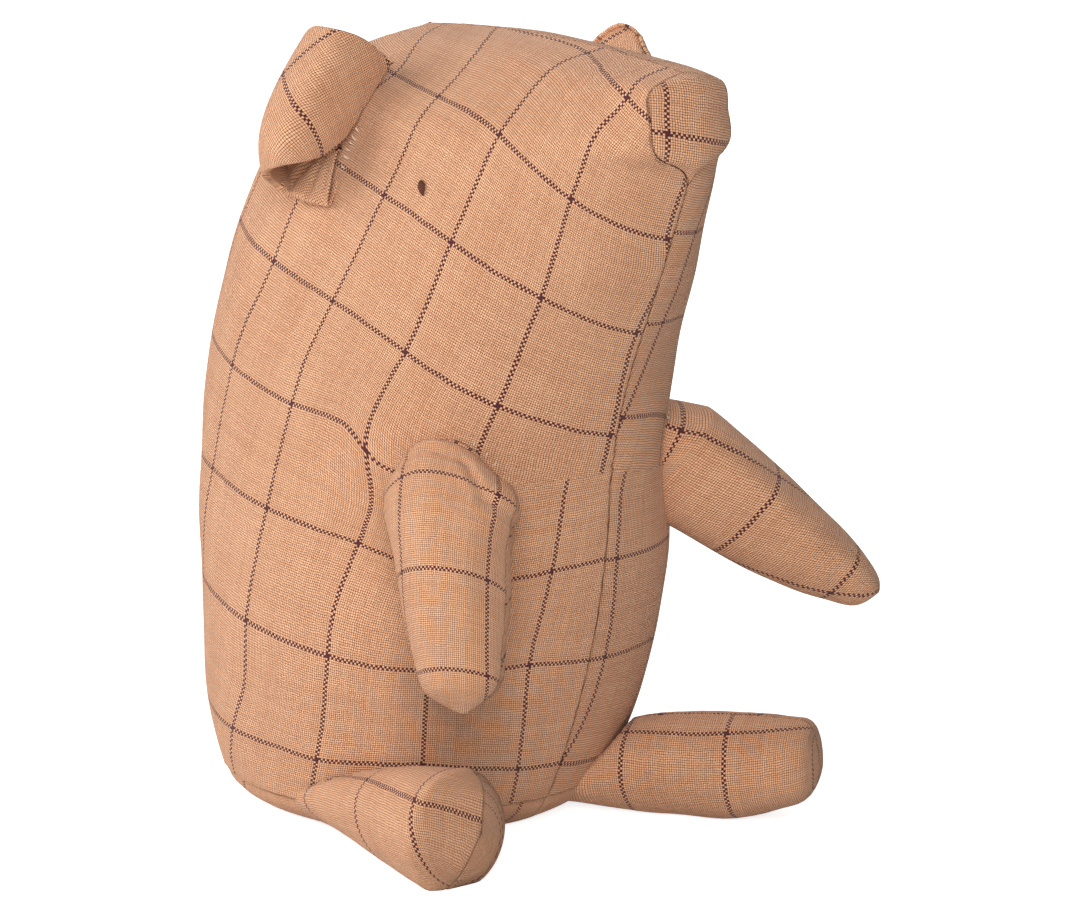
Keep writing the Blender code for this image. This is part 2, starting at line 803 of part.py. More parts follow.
left_ear = ear("left_ear", 1, *left_ear_place, left_ear_tilt, left_ear_lean)
eye("right_eye", -1)
eye("left_eye", 1)
shoulder_stitching("right_shoulder_stitching", right_arm, -1, *right_shoulder)
shoulder_stitching("left_shoulder_stitching", left_arm, 1, *left_shoulder)
ear_stitching("right_ear_stitching", -1, *right_ear_place)
ear_stitching("left_ear_stitching", 1, *left_ear_place)
tail_hinge = tail()

for hinge_name, hinge_root, hinge_axis in (
        ("right shoulder", right_arm.root, right_arm.axis),
        ("left shoulder", left_arm.root, left_arm.axis),
        ("right hip", right_leg.root, right_leg.axis),
        ("left hip", left_leg.root, left_leg.axis),
        ("right ear", right_ear[0], right_ear[1]),
        ("left ear", left_ear[0], left_ear[1]),
        ("tail", tail_hinge, Vector((1.0, 0.0, 0.0)))):
    print(hinge_name, [round(v, 5) for v in hinge_root], [round(v, 5) for v in hinge_axis])
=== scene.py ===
# %% [markdown]
# A sitting plush pig, sewn from checked linen and stuffed.
#
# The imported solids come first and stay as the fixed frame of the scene. Every cloth panel is then
# made again as a fine sheet in the same place, with rounded seams, puckers and a woven check.

# %% Load the frame
import json

import bpy
import numpy as np
from functools import partial
from math import cos, pi, radians, sin, tau
from mathutils import Matrix, Vector
from mathutils.bvhtree import BVHTree


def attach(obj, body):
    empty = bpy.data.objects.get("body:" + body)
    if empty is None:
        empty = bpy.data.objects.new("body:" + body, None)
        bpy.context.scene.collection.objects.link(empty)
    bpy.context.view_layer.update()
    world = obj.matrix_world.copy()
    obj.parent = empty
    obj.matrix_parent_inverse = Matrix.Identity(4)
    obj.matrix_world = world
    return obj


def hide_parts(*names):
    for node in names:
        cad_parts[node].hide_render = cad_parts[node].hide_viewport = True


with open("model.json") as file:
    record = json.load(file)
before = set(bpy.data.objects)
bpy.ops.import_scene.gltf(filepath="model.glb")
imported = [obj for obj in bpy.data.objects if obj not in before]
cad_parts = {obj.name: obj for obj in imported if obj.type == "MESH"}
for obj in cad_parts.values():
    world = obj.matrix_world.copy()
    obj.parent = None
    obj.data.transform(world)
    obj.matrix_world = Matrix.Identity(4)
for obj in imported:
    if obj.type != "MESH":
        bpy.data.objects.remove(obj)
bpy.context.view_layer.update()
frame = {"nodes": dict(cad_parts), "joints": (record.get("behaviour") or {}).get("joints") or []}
hinges = {joint["name"]: joint for joint in frame["joints"]}

# %% [markdown]
# The camera stands where the photographer stood: a long lens, a little above the pig and off its
# right front. The same numbers turn a place in the photo into a ray, so that marks read from the
# photo can be laid on the cloth.

# %% Camera
photo_width = 1080
photo_height = 900
sensor_width = 36.0
camera_azimuth = radians(-41)
camera_elevation = radians(14)
camera_distance = 1.3
camera_aim = np.array([0.03349, -0.00187, 0.08248])
photo_focal = 5200.0

camera_back = np.array([sin(camera_azimuth) * cos(camera_elevation),
                        -cos(camera_azimuth) * cos(camera_elevation),
                        sin(camera_elevation)])
camera_right = np.array([cos(camera_azimuth), sin(camera_azimuth), 0.0])
camera_up = np.cross(camera_back, camera_right)
camera_place = camera_aim + camera_back * camera_distance


def new_object(name, data, place=None, way=None):
    """An object in the scene; with a place it stands there, and faces the way given."""
    made = bpy.data.objects.new(name, data)
    if place is not None:
        made.location = place
        made.rotation_mode = "QUATERNION"
        made.rotation_quaternion = Vector(way).to_track_quat("-Z", "Y")
    bpy.context.scene.collection.objects.link(made)
    return made


camera_data = bpy.data.cameras.new("camera")
camera_data.sensor_width = sensor_width
camera_data.lens = photo_focal * sensor_width / photo_width
camera_data.clip_start, camera_data.clip_end = 0.1, 20.0
bpy.context.scene.camera = new_object("camera", camera_data, camera_place, -camera_back)


def photo_ray(x, y):
    """The direction from the camera through a place in the photo."""
    ray = (camera_right * (x - photo_width / 2) + camera_up * (photo_height / 2 - y)
           - camera_back * photo_focal)
    return Vector(ray).normalized()


print("lens", round(camera_data.lens, 1), "mm")

# %% [markdown]
# Body and head are one form. A table gives its sections from the floor to the crown seam, and a
# smooth curve runs through the sections. The solids are made from nearly the same table. Each row
# says: how far the front comes, its lean, its height, the same for the back without a lean, the
# width, where along the section it is widest, the snout's share, and the crown's rise.

# %% Body form
cloth_thickness = 0.0006
body_height = 0.1945
body_width = 0.108
body_depth = 0.126
snout_lean = 0.029
crown_rise = 0.0024
nose_width = 0.0235
nose_swell = 0.0036
fullness_share = 1.08
snout_taper_share = 0.45
base_seam_share = 1.1
snout_row = 8.0

body_row_shares = np.array([
    (0.52, 0.00, 0.000, 0.67, 0.000, 0.70, 0.50, 0.00, 0.0),
    (0.67, 0.00, 0.036, 0.86, 0.036, 0.89, 0.50, 0.00, 0.0),
    (0.84, 0.00, 0.153, 0.94, 0.153, 0.99, 0.50, 0.00, 0.0),
    (0.965, 0.00, 0.281, 0.96, 0.291, 1.02, 0.50, 0.00, 0.0),
    (1.03, 0.00, 0.398, 0.96, 0.434, 1.005, 0.52, 0.00, 0.0),
    (1.055, 0.00, 0.490, 0.94, 0.561, 0.95, 0.55, 0.00, 0.0),
    (1.05, 0.20, 0.602, 0.86, 0.684, 0.90, 0.57, 0.00, 0.0),
    (1.05, 0.57, 0.735, 0.71, 0.801, 0.81, 0.59, 0.00, 0.0),
    (1.05, 0.90, 0.862, 0.52, 0.900, 0.70, 0.60, 0.00, 0.1),
    (1.05, 0.94, 0.903, 0.40, 0.944, 0.62, 0.62, 0.92, 0.3),
    (1.05, 0.91, 0.945, 0.24, 0.970, 0.43, 0.64, 1.00, 0.6),
    (1.05, 0.87, 0.980, 0.08, 0.988, 0.22, 0.66, 0.92, 0.9),
    (1.05, 0.83, 0.995, 0.00, 0.9965, 0.00, 0.66, 0.00, 1.1),
])
top_row = float(len(body_row_shares) - 1)


def spread(place, turn):
    """Places and turns as arrays of one shape."""
    return np.broadcast_arrays(np.asarray(place, float), np.asarray(turn, float))


def along_rows(rows, places):
    """Values at places between the rows of a table, on a smooth curve through them."""
    last = len(rows) - 1
    places = np.clip(np.asarray(places, float), 0.0, last)
    low = np.minimum(places.astype(int), last - 1)
    step = (places - low)[..., None]
    before = rows[np.maximum(low - 1, 0)]
    here = rows[low]
    after = rows[low + 1]
    beyond = rows[np.minimum(low + 2, last)]
    bend = (2 * before - 5 * here + 4 * after - beyond) * step ** 2
    twist = (3 * here - before - 3 * after + beyond) * step ** 3
    return (2 * here + (after - before) * step + bend + twist) / 2


def body_form(place, turn, side):
    """Points of the body's cloth: up its rows, round from front seam to back seam."""
    place, turn = spread(place, turn)
    values = along_rows(body_row_shares, place)
    front, lean, front_height, back, back_height, width, widest, nose, rise = np.moveaxis(
        values, -1, 0)
    nose = np.maximum(nose, 0.0)
    half_nose = nose * nose_width / 2
    half_width = np.maximum(np.maximum(width, 0.0) * body_width / 2, half_nose)
    angle = pi * turn
    fullness = fullness_share + snout_taper_share * nose
    before = turn < 0.5
    across = np.where(before,
                      half_nose + (half_width - half_nose) * np.abs(np.sin(angle)) ** fullness,
                      half_width * np.sin(angle))
    share = np.where(before, widest * (1 - np.cos(angle)),
                     widest + (1 - widest) * np.abs(np.cos(angle)))
    front_y = -(front * body_depth / 2 + lean * snout_lean)
    back_y = back * body_depth / 2
    chord = front_height + (back_height - front_height) * share
    height = chord * body_height + rise * crown_rise * 4 * share * (1 - share)
    return np.stack([side * across, front_y + (back_y - front_y) * share, height], -1)


def normals_of(points, outward):
    """Unit normals of a grid of points, turned to the side that outward names."""
    down = np.gradient(points, axis=0)
    along = np.gradient(points, axis=1)
    facing = np.cross(down, along)
    facing /= np.maximum(np.linalg.norm(facing, axis=-1, keepdims=True), 1e-12)
    facing[0], facing[-1] = facing[1], facing[-2]
    facing[:, 0], facing[:, -1] = facing[:, 1], facing[:, -2]
    return facing * outward


def unit(vectors):
    """Vectors drawn to a length of one."""
    return vectors / np.linalg.norm(vectors, axis=-1, keepdims=True)


def lengths(points, axis):
    """Distance along a grid of points from its first row or column."""
    steps = np.linalg.norm(np.diff(points, axis=axis), axis=-1)
    zero = np.zeros_like(np.take(steps, [0], axis=axis))
    return np.concatenate([zero, np.cumsum(steps, axis=axis)], axis=axis)


print("body form stands", round(float(body_form(top_row, 0.5, 1)[2]) * 1000, 1), "mm high")

# %% [markdown]
# Stuffed cloth turns over sharply at a seam, and the gathered edge puckers. So each sheet is a
# grid with a few close lines beside its seams. The edge is rounded with a small radius, and a
# ripple that dies away within some millimetres stands in for the puckers.

# %% Sheets with seams
thread_pitch = 0.000587
check_threads = 48
check_size = check_threads * thread_pitch
seam_radius = 0.0005
seam_depth = 0.0012
seam_steps = np.array([0.0, 0.00008, 0.00020, 0.00035, 0.0006, 0.0012])
mesh_step, fine_step = 0.0014, 0.0007
pucker_height, pucker_reach, pucker_wander = 0.00011, 0.0032, 0.019
pucker_lengths = (0.0046, 0.0071)
filling_waves = 24


def seam_spaced(length, step=mesh_step):
    """Shares of a length from 0 to 1, with close ones near both ends."""
    inner = seam_steps / length
    count = max(int(round((1 - 2 * inner[-1]) * length / step)), 4)
    middle = np.linspace(inner[-1], 1 - inner[-1], count + 1)
    return np.concatenate([inner[:-1], middle, (1 - inner[:-1])[::-1]])


def run_over(surface, low, high, fixed, up=True, count=300):
    """Places from low to high up a surface or round it, and the distance to each of them."""
    fine = np.linspace(low, high, count)
    line = surface(fine, fixed) if up else surface(fixed, fine)
    return fine, lengths(line[:, None], 0)[:, 0]


def spaced(surface, low, high, fixed, up=True, step=mesh_step, count=400):
    """Places from low to high, evenly spaced over a surface and close at both seams."""
    fine, run = run_over(surface, low, high, fixed, up, count)
    return np.interp(seam_spaced(run[-1], step) * run[-1], run, fine)


def evenly(surface, count):
    """Places from 0 to 1 up the middle of a surface, evenly spaced over it."""
    fine, run = run_over(surface, 0, 1, 0.5)
    return np.interp(np.linspace(0, 1, count) * run[-1], run, fine)


def rounded_edge(distance):
    """How far the cloth has dropped at a distance from its seam."""
    left = np.clip(seam_radius - distance, 0.0, seam_radius)
    return seam_radius - np.sqrt(seam_radius ** 2 - left ** 2)


def puckers(distance, along, phase):
    """Small ripples square to a seam, that fade with the distance from it."""
    wander = 1.4 * np.sin(tau * along / pucker_wander + phase)
    ripple = (0.6 * np.sin(tau * along / pucker_lengths[0] + wander + phase)
              + 0.4 * np.sin(tau * along / pucker_lengths[1] + 2 * phase))
    return pucker_height * ripple * np.exp(-distance / pucker_reach)


def unevenness(points, seed, height, smallest, largest):
    """A smooth random swelling of cloth over filling."""
    rng = np.random.default_rng(seed)
    total = np.zeros(points.shape[:-1])
    for _ in range(filling_waves):
        heading = rng.normal(size=3)
        heading /= np.linalg.norm(heading)
        wave = tau / rng.uniform(smallest, largest)
        total += np.sin(points @ heading * wave + rng.uniform(0, tau))
    return height * total / filling_waves ** 0.5


def seam_relief(points, phases, seed, height, waves, fade_reach):
    """Rounded seams, their puckers and an uneven filling, and the distance to a seam."""
    rise, girth = lengths(points, 0), lengths(points, 1)
    reaches = {"bottom": rise, "top": rise[-1:] - rise, "front": girth,
               "back": girth[:, -1:] - girth}
    seam = np.minimum.reduce([reaches[edge] for edge in phases])
    relief = -rounded_edge(seam)
    for edge, phase in phases.items():
        relief += puckers(reaches[edge], girth if edge in ("bottom", "top") else rise, phase)
    relief += (1 - np.exp(-seam / fade_reach)) * unevenness(points, seed, height, *waves)
    return relief, seam

# %% [markdown]
# One function makes every sheet of linen. It turns the edges in, keeps the count of threads and
# the distance to a seam on the corners of the faces, and gives the cloth its thickness.

# %% A sheet of linen
def new_mesh(name, points, faces):
    """A mesh from its points and faces."""
    mesh = bpy.data.meshes.new(name)
    faces = faces.tolist() if isinstance(faces, np.ndarray) else faces
    mesh.from_pydata(np.asarray(points).reshape(-1, 3).tolist(), [], faces)
    return mesh


def grid_quads(rows, columns):
    """The faces of a grid, as the numbers of their corners."""
    corner = np.arange(rows * columns).reshape(rows, columns)
    return np.stack([corner[:-1, :-1], corner[:-1, 1:], corner[1:, 1:], corner[1:, :-1]],
                    -1).reshape(-1, 4)


def cloth_piece(name, points, facing, outward, cloth, seam, edges=(), other=None,
                takes_other=None):
    """A sheet of linen through a grid of points, with its edges turned in at the seams."""
    other = cloth if other is None else other
    taken = np.zeros_like(seam) if takes_other is None else takes_other
    data = np.concatenate([points, facing, cloth, other, seam[..., None], taken[..., None]], -1)
    for edge in edges:
        axis = 0 if edge in ("bottom", "top") else 1
        first = edge in ("bottom", "front")
        rim = np.take(data, [0 if first else -1], axis=axis)
        rim[..., :3] -= rim[..., 3:6] * seam_depth
        data = np.concatenate([rim, data] if first else [data, rim], axis=axis)
    rows, columns = data.shape[:2]
    data = data.reshape(rows * columns, -1)
    quads = grid_quads(rows, columns)
    if outward > 0:
        quads = quads[:, ::-1]
    mesh = new_mesh(name, data[:, :3], quads)
    chosen = np.repeat(data[:, 11][quads].mean(1) > 0.5, 4)
    corners = data[quads.reshape(-1)]
    threads = np.where(chosen[:, None], corners[:, 8:10], corners[:, 6:8]) / thread_pitch
    values = np.concatenate([threads, corners[:, 10:11] * 1000], 1)
    attribute = mesh.attributes.new("cloth", "FLOAT_VECTOR", "CORNER")
    attribute.data.foreach_set("vector", values.astype(np.float32).ravel())
    mesh.shade_smooth()
    piece = new_object(name + "_linen", mesh)
    thickness = piece.modifiers.new("cloth", "SOLIDIFY")
    thickness.thickness = cloth_thickness
    thickness.offset = -1.0
    return piece


print("a check is", round(check_size * 1000, 1), "mm, puckers", pucker_height * 1000, "mm high")

# %% [markdown]
# The check was woven before the panels were cut, so it runs straight in a flat panel and bends
# with the stuffed shape. Each panel is flattened as a pattern piece, and its plum lines are then
# drawn to the places where the photo shows them: a thin plate is bent through the marks read off
# the photo, which keeps the weave smooth between them and straight where nothing is seen. A mark
# is the number of its line, and places on it in the photo.

right_lengthwise_marks = {
    1: [(395, 72), (297, 200), (275, 258), (233, 362)],
    2: [(520, 28), (470, 60), (438, 93), (384, 192), (332, 298), (291, 401), (272, 478),
        (266, 505), (246, 617), (244, 680), (232, 724)],
    3: [(600, 48), (560, 62), (530, 90), (499, 131), (452, 238), (405, 349), (364, 442),
        (370, 500), (357, 541), (330, 617), (326, 653), (322, 712), (315, 757), (310, 787)],
    4: [(657, 70), (637, 79), (628, 94), (598, 127), (583, 159), (570, 196), (540, 295),
        (497, 403), (475, 455)],
    5: [(688, 178), (665, 237), (635, 330), (610, 430)],
}
right_crosswise_marks = {
    0: [(540, 35), (587, 50), (611, 76), (628, 95)],
    1: [(395, 72), (438, 93), (499, 131), (570, 196), (665, 237)],
    2: [(330, 155), (384, 192), (452, 238), (540, 295), (635, 330)],
    3: [(250, 233), (275, 258), (332, 298), (405, 349), (497, 403), (608, 433)],
    4: [(233, 362), (291, 401), (327, 413), (349, 423), (360, 438), (381, 463)],
    5: [(222, 476), (266, 505), (357, 541), (389, 555)],
    6: [(222, 597), (246, 617), (326, 653), (374, 665), (413, 669)],
    7: [(230, 724), (279, 746), (315, 757), (418, 762)],
}
belly_lengthwise_marks = {
    4: [(425, 693), (420, 765)],
    5: [(567, 475), (551, 570), (528, 663), (517, 767)],
}
belly_crosswise_marks = {
    4: [(530, 466), (575, 459)],
    5: [(505, 578), (551, 570), (594, 560)],
    6: [(500, 667), (528, 663), (578, 660)],
    7: [(418, 762), (517, 767), (548, 764)],
}
left_crosswise_marks = {1: [(678, 236), (704, 225)], 2: [(652, 326), (684, 306)],
                        3: [(618, 430), (660, 406)]}
left_lengthwise_marks = {6: [(690, 240), (672, 300), (655, 360)]}
left_belly_lengthwise_marks = {0: [(620, 475), (618, 560), (605, 660), (580, 745)]}
left_belly_crosswise_marks = {5: [(604, 557), (635, 550), (664, 540)],
                              6: [(590, 661), (610, 657), (652, 628)],
                              7: [(560, 762), (580, 755), (605, 742)]}
print("lines marked:", sum(len(table) for table in (
    right_lengthwise_marks, right_crosswise_marks, belly_lengthwise_marks, belly_crosswise_marks)))

# %% Flatten a panel and lay its weave
mark_reach, pull_slack = 0.03, 0.3
plate_scale, plate_slack, plate_marks = 0.05, 0.002, 9
weave_headings, same_way = 720, 0.9


def bilinear(grid, rows, columns):
    """Values of a grid between its points, by row and column."""
    i = np.clip(np.asarray(rows).astype(int), 0, grid.shape[0] - 2)
    j = np.clip(np.asarray(columns).astype(int), 0, grid.shape[1] - 2)
    s = (rows - i)[..., None]
    t = (columns - j)[..., None]
    return ((grid[i, j] * (1 - t) + grid[i, j + 1] * t) * (1 - s)
            + (grid[i + 1, j] * (1 - t) + grid[i + 1, j + 1] * t) * s)


def flat_pattern(points):
    """A grid of points flattened to a pattern piece of the same area, with its rows level."""
    rows, columns = points.shape[:2]
    mesh = new_mesh("pattern", points, grid_quads(rows, columns))
    pattern = new_object("pattern", mesh)
    bpy.ops.object.select_all(action="DESELECT")
    pattern.select_set(True)
    bpy.context.view_layer.objects.active = pattern
    mesh.uv_layers.new(name="flat")
    bpy.ops.object.mode_set(mode="EDIT")
    bpy.ops.mesh.select_all(action="SELECT")
    bpy.ops.uv.unwrap(method="MINIMUM_STRETCH", margin=0.0)
    bpy.ops.object.mode_set(mode="OBJECT")
    corners = np.zeros(len(mesh.loops), int)
    mesh.loops.foreach_get("vertex_index", corners)
    places = np.zeros(len(mesh.loops) * 2, np.float32)
    mesh.uv_layers["flat"].uv.foreach_get("vector", places)
    flat = np.zeros((rows * columns, 2))
    flat[corners] = places.reshape(-1, 2)
    flat = flat.reshape(rows, columns, 2)
    area = sum(face.area for face in mesh.polygons)
    one = flat[1:, 1:] - flat[:-1, :-1]
    two = flat[:-1, 1:] - flat[1:, :-1]
    flat_area = np.abs(np.sum(one[..., 0] * two[..., 1] - one[..., 1] * two[..., 0])) / 2
    flat *= (area / flat_area) ** 0.5
    level_row = rows // 3
    level = flat[level_row, -1] - flat[level_row, 0]
    level /= np.linalg.norm(level)
    up = np.array([-level[1], level[0]])
    if (flat[-1, columns // 2] - flat[0, columns // 2]) @ up < 0:
        up = -up
    bpy.data.objects.remove(pattern, do_unlink=True)
    return np.stack([flat @ level, flat @ up], -1)


def near_kernel(one, other):
    """How strongly a mark pulls on the weave around it."""
    reach = np.linalg.norm(one[..., None, :] - other, axis=-1)
    return np.exp(-(reach / mark_reach) ** 2 / 2)


def bent_plate(known, heights):
    """A smooth height over the flat pattern, like a thin plate bent through some places."""
    count = len(known)

    def bend(one, other):
        reach = np.linalg.norm(one[..., None, :] - other, axis=-1) / plate_scale
        return reach ** 2 * np.log(np.maximum(reach, 1e-9))

    matrix = np.zeros((count + 3, count + 3))
    matrix[:count, :count] = bend(known, known) + plate_slack * np.eye(count)
    matrix[:count, count] = matrix[count, :count] = 1
    matrix[:count, count + 1:] = known / plate_scale
    matrix[count + 1:, :count] = known.T / plate_scale
    solved = np.linalg.solve(matrix, np.concatenate([heights, np.zeros(3)]))
    return lambda at: (bend(at, known) @ solved[:count] + solved[count]
                       + at / plate_scale @ solved[count + 1:])


def soft_pull(known, misses):
    """A height that is pulled towards a few places and level far away from them."""
    if not len(known):
        return lambda at: 0.0
    pull = np.linalg.solve(near_kernel(known, known) + pull_slack * np.eye(len(known)), misses)
    return lambda at: near_kernel(at, known) @ pull


def laid_weave(form, lengthwise, crosswise, like=None):
    """The weave over a pattern piece: straight as it was woven, then pulled to the marks."""
    places, numbers = [], []
    for table in (lengthwise, crosswise):
        marks = [(form.flat_mark(x, y), number) for number, line in table.items()
                 for x, y in line]
        places.append(np.array([place for place, _ in marks]).reshape(-1, 2))
        numbers.append(np.array([number for _, number in marks], float))
    best = None
    for angle in np.linspace(0, tau, weave_headings, endpoint=False):
        for flip in (1, -1):
            ways = (np.array([cos(angle), sin(angle)]) / check_size,
                    np.array([-sin(angle), cos(angle)]) / check_size * flip)
            turned = [way @ other * check_size ** 2 for way, other in zip(ways, like or ())]
            if min(turned, default=1.0) < same_way:
                continue
            levels, misses = [], []
            for way, at, number in zip(ways, places, numbers):
                rest = number - at @ way
                level = rest.mean() if len(rest) else 0.0
                levels.append(level)
                misses.append(rest - level)
            miss = sum((m ** 2).sum() for m in misses)
            if best is None or miss < best[0]:
                best = (miss, ways, levels, misses)
    _, ways, levels, misses = best
    print("weave off its marks by up to",
          [round(float(np.abs(m).max()), 2) if len(m) else 0 for m in misses], "checks")
    pulls = [bent_plate(at, miss) if len(at) > plate_marks and len(set(number)) > 2
             else soft_pull(at, miss) for at, miss, number in zip(places, misses, numbers)]

    def weave_at(at):
        values = [at @ way + level + pull(at) for way, level, pull in zip(ways, levels, pulls)]
        return np.stack(values, -1) * check_size

    return weave_at, ways

# %% Lay marks on a form
dart_seam_mark = (607, 466)
dart_marks = {-1: (470, 478), 1: (652, 464)}
dart_reaches = {-1: 1.0, 1: 1.5}


class Form:
    """A curved surface as a coarse grid, that marks are laid on and cloth is cut from."""

    def __init__(self, surface, places, turns, flat=None):
        self.surface = surface
        self.places = places
        self.turns = turns
        self.points = surface(places[:, None], turns[None, :])
        self.flat = flat_pattern(self.points) if flat is None else flat
        self.tree = BVHTree.FromPolygons([Vector(p) for p in self.points.reshape(-1, 3)],
                                         grid_quads(len(places), len(turns)).tolist())

    def mark(self, x, y):
        """Row and column of a place in the photo, or of the nearest point of the form."""
        spot, _, face, _ = self.tree.ray_cast(Vector(camera_place), photo_ray(x, y))
        if spot is None:
            depth = np.linalg.norm(self.points.mean((0, 1)) - camera_place)
            spot, _, face, _ = self.tree.find_nearest(Vector(camera_place)
                                                      + photo_ray(x, y) * depth)
        i, j = divmod(face, len(self.turns) - 1)
        start = self.points[i, j]
        sides = np.stack([self.points[i + 1, j] - start, self.points[i, j + 1] - start], 1)
        s, t = np.linalg.lstsq(sides, np.array(spot) - start, rcond=None)[0]
        return i + float(np.clip(s, 0, 1)), j + float(np.clip(t, 0, 1))

    def share(self, x, y):
        """The place and turn of the form at a place in the photo."""
        i, j = self.mark(x, y)
        return (float(np.interp(i, np.arange(len(self.places)), self.places)),
                float(np.interp(j, np.arange(len(self.turns)), self.turns)))

    def point(self, x, y):
        """The point of the form behind a place in the photo."""
        return self.surface(*self.share(x, y))

    def flat_mark(self, x, y):
        """Where a place in the photo falls on the flat pattern."""
        i, j = self.mark(x, y)
        return bilinear(self.flat, np.array(i), np.array(j))

    def flat_at(self, place, turn):
        """Flat places for rows and turns."""
        i = np.interp(place, self.places, np.arange(len(self.places)))
        j = np.interp(turn, self.turns, np.arange(len(self.turns)))
        return bilinear(self.flat, i, j)


form_places = np.linspace(base_seam_share, top_row, 57)
form_turns = np.linspace(0.0, 1.0, 41)
forms = {side: Form(partial(body_form, side=side), form_places, form_turns) for side in (-1, 1)}
dart_seam_place = forms[-1].share(*dart_seam_mark)[0]
dart_ends = {side: form.share(*dart_marks[side]) for side, form in forms.items()}
print("dart from row", round(dart_seam_place, 2), "to row and turn",
      {side: [round(v, 3) for v in end] for side, end in dart_ends.items()})

# %% [markdown]
# The linen is a plain weave, about 17 threads to the centimetre, of unbleached pink threads with
# two plum threads every 48. One node group draws it from the cloth's own coordinates, which count
# threads. Where two threads cross, only the upper one is seen, so two plum threads side by side
# show as a little zigzag, as in the photo.

# %% Node helpers
class Nodes:
    """A node tree, with short ways to add to it."""

    def __init__(self, tree):
        self.tree = tree

    def feed(self, socket, value):
        """Link a socket into another, or set a plain value on it."""
        if isinstance(value, bpy.types.NodeSocket):
            self.tree.links.new(value, socket)
        else:
            socket.default_value = value

    def add(self, kind, *values, sockets=None, **settings):
        """A node with settings on it, and values in its first sockets or in named ones."""
        node = self.tree.nodes.new("ShaderNode" + kind)
        for name, value in settings.items():
            setattr(node, name, value)
        for socket, value in zip(node.inputs, values):
            self.feed(socket, value)
        for label, value in (sockets or {}).items():
            self.feed(node.inputs[label], value)
        return node

    def math(self, operation, *values):
        """One step of arithmetic."""
        return self.add("Math", *values, operation=operation).outputs[0]

    def vector(self, *values):
        """A vector from three values."""
        return self.add("CombineXYZ", *values).outputs[0]

    def noise(self, vector, scale, detail=2.0, roughness=0.5):
        """Smooth noise at a place, from 0 to 1."""
        return self.add("TexNoise", sockets={"Vector": vector, "Scale": scale, "Detail": detail,
                                             "Roughness": roughness}).outputs[0]

    def mix(self, share, one, other, kind="RGBA"):
        """One colour or value blended into another."""
        first, second, result = {"FLOAT": (2, 3, 0), "RGBA": (6, 7, 2)}[kind]
        node = self.add("Mix", share, data_type=kind)
        self.feed(node.inputs[first], one)
        self.feed(node.inputs[second], other)
        return node.outputs[result]

    def bump(self, height, strength, distance):
        """The normal of a fine relief."""
        return self.add("Bump", sockets={"Height": height, "Strength": strength,
                                         "Distance": distance}).outputs["Normal"]


def new_group(name, inputs, outputs):
    """A shader node group; an input without a plain value is a vector, all others are values."""
    group = bpy.data.node_groups.new(name, "ShaderNodeTree")
    for label, value in inputs.items():
        kind = "NodeSocketVector" if value is None else "NodeSocketFloat"
        socket = group.interface.new_socket(label, in_out="INPUT", socket_type=kind)
        if value is not None:
            socket.default_value = value
    for label in outputs:
        group.interface.new_socket(label, in_out="OUTPUT", socket_type="NodeSocketFloat")
    return group, group.nodes.new("NodeGroupInput"), group.nodes.new("NodeGroupOutput")

# %% The plain weave
drift_scale, drift_threads = 0.16, 4.0
own_shade, slub_shade, slub_apart, slub_stretch, slub_roughness = 0.45, 0.9, 7.31, 0.11, 0.6
bead_fill, bead_blend, bead_power = 2.6, 0.2, 0.6

weave_tree, weave_in, weave_out = new_group(
    "plain_weave",
    {"Cloth": None, "Check Threads": float(check_threads), "Stripe Threads": 2.0, "Wander": 0.3},
    ("Stripe", "Height", "Tone", "Gap"))
weave = Nodes(weave_tree)
cloth_at, threads_between, stripe_threads, thread_wander = weave_in.outputs[:4]


def drifted(along, vector):
    """A place across the threads, with a slow drift."""
    drift = weave.math("SUBTRACT", weave.noise(vector, drift_scale), 0.5)
    amount = weave.math("MULTIPLY", thread_wander, drift_threads)
    return weave.math("ADD", along, weave.math("MULTIPLY", drift, amount))


cloth_x, cloth_y, _ = weave.add("SeparateXYZ", cloth_at).outputs
warp_place = drifted(cloth_x, cloth_at)
weft_place = drifted(cloth_y, weave.vector(cloth_y, cloth_x, 9.0))
warp_thread, weft_thread, warp_share, weft_share = (
    weave.math(step, place) for step in ("FLOOR", "FRACT") for place in (warp_place, weft_place))
odd = weave.math("FRACT", weave.math("MULTIPLY", weave.math("ADD", warp_thread, weft_thread), 0.5))
warp_on_top = weave.math("GREATER_THAN", odd, 0.25)


def striped(thread):
    """Whether a thread is one of the plum ones."""
    share = weave.math("FRACT", weave.math(
        "DIVIDE", weave.math("ADD", thread, 0.5), threads_between))
    return weave.math("LESS_THAN", share, weave.math("DIVIDE", stripe_threads, threads_between))


def thread_tone(thread, along, seed):
    """How light one thread is: its own shade, and slubs along it."""
    own = weave.add("TexWhiteNoise", noise_dimensions="2D",
                    sockets={"Vector": weave.vector(thread, seed, 0.0)})
    at = weave.vector(weave.math("MULTIPLY", thread, slub_apart),
                      weave.math("MULTIPLY", along, slub_stretch), seed)
    slub = weave.noise(at, 1.0, 2.0, slub_roughness)
    return weave.math("ADD", weave.math("MULTIPLY", own.outputs["Value"], own_shade),
                      weave.math("MULTIPLY", slub, slub_shade))


def arch(share):
    """A rounded thread, 0 at its edges and 1 in the middle."""
    return weave.math("SINE", weave.math("MULTIPLY", share, pi))


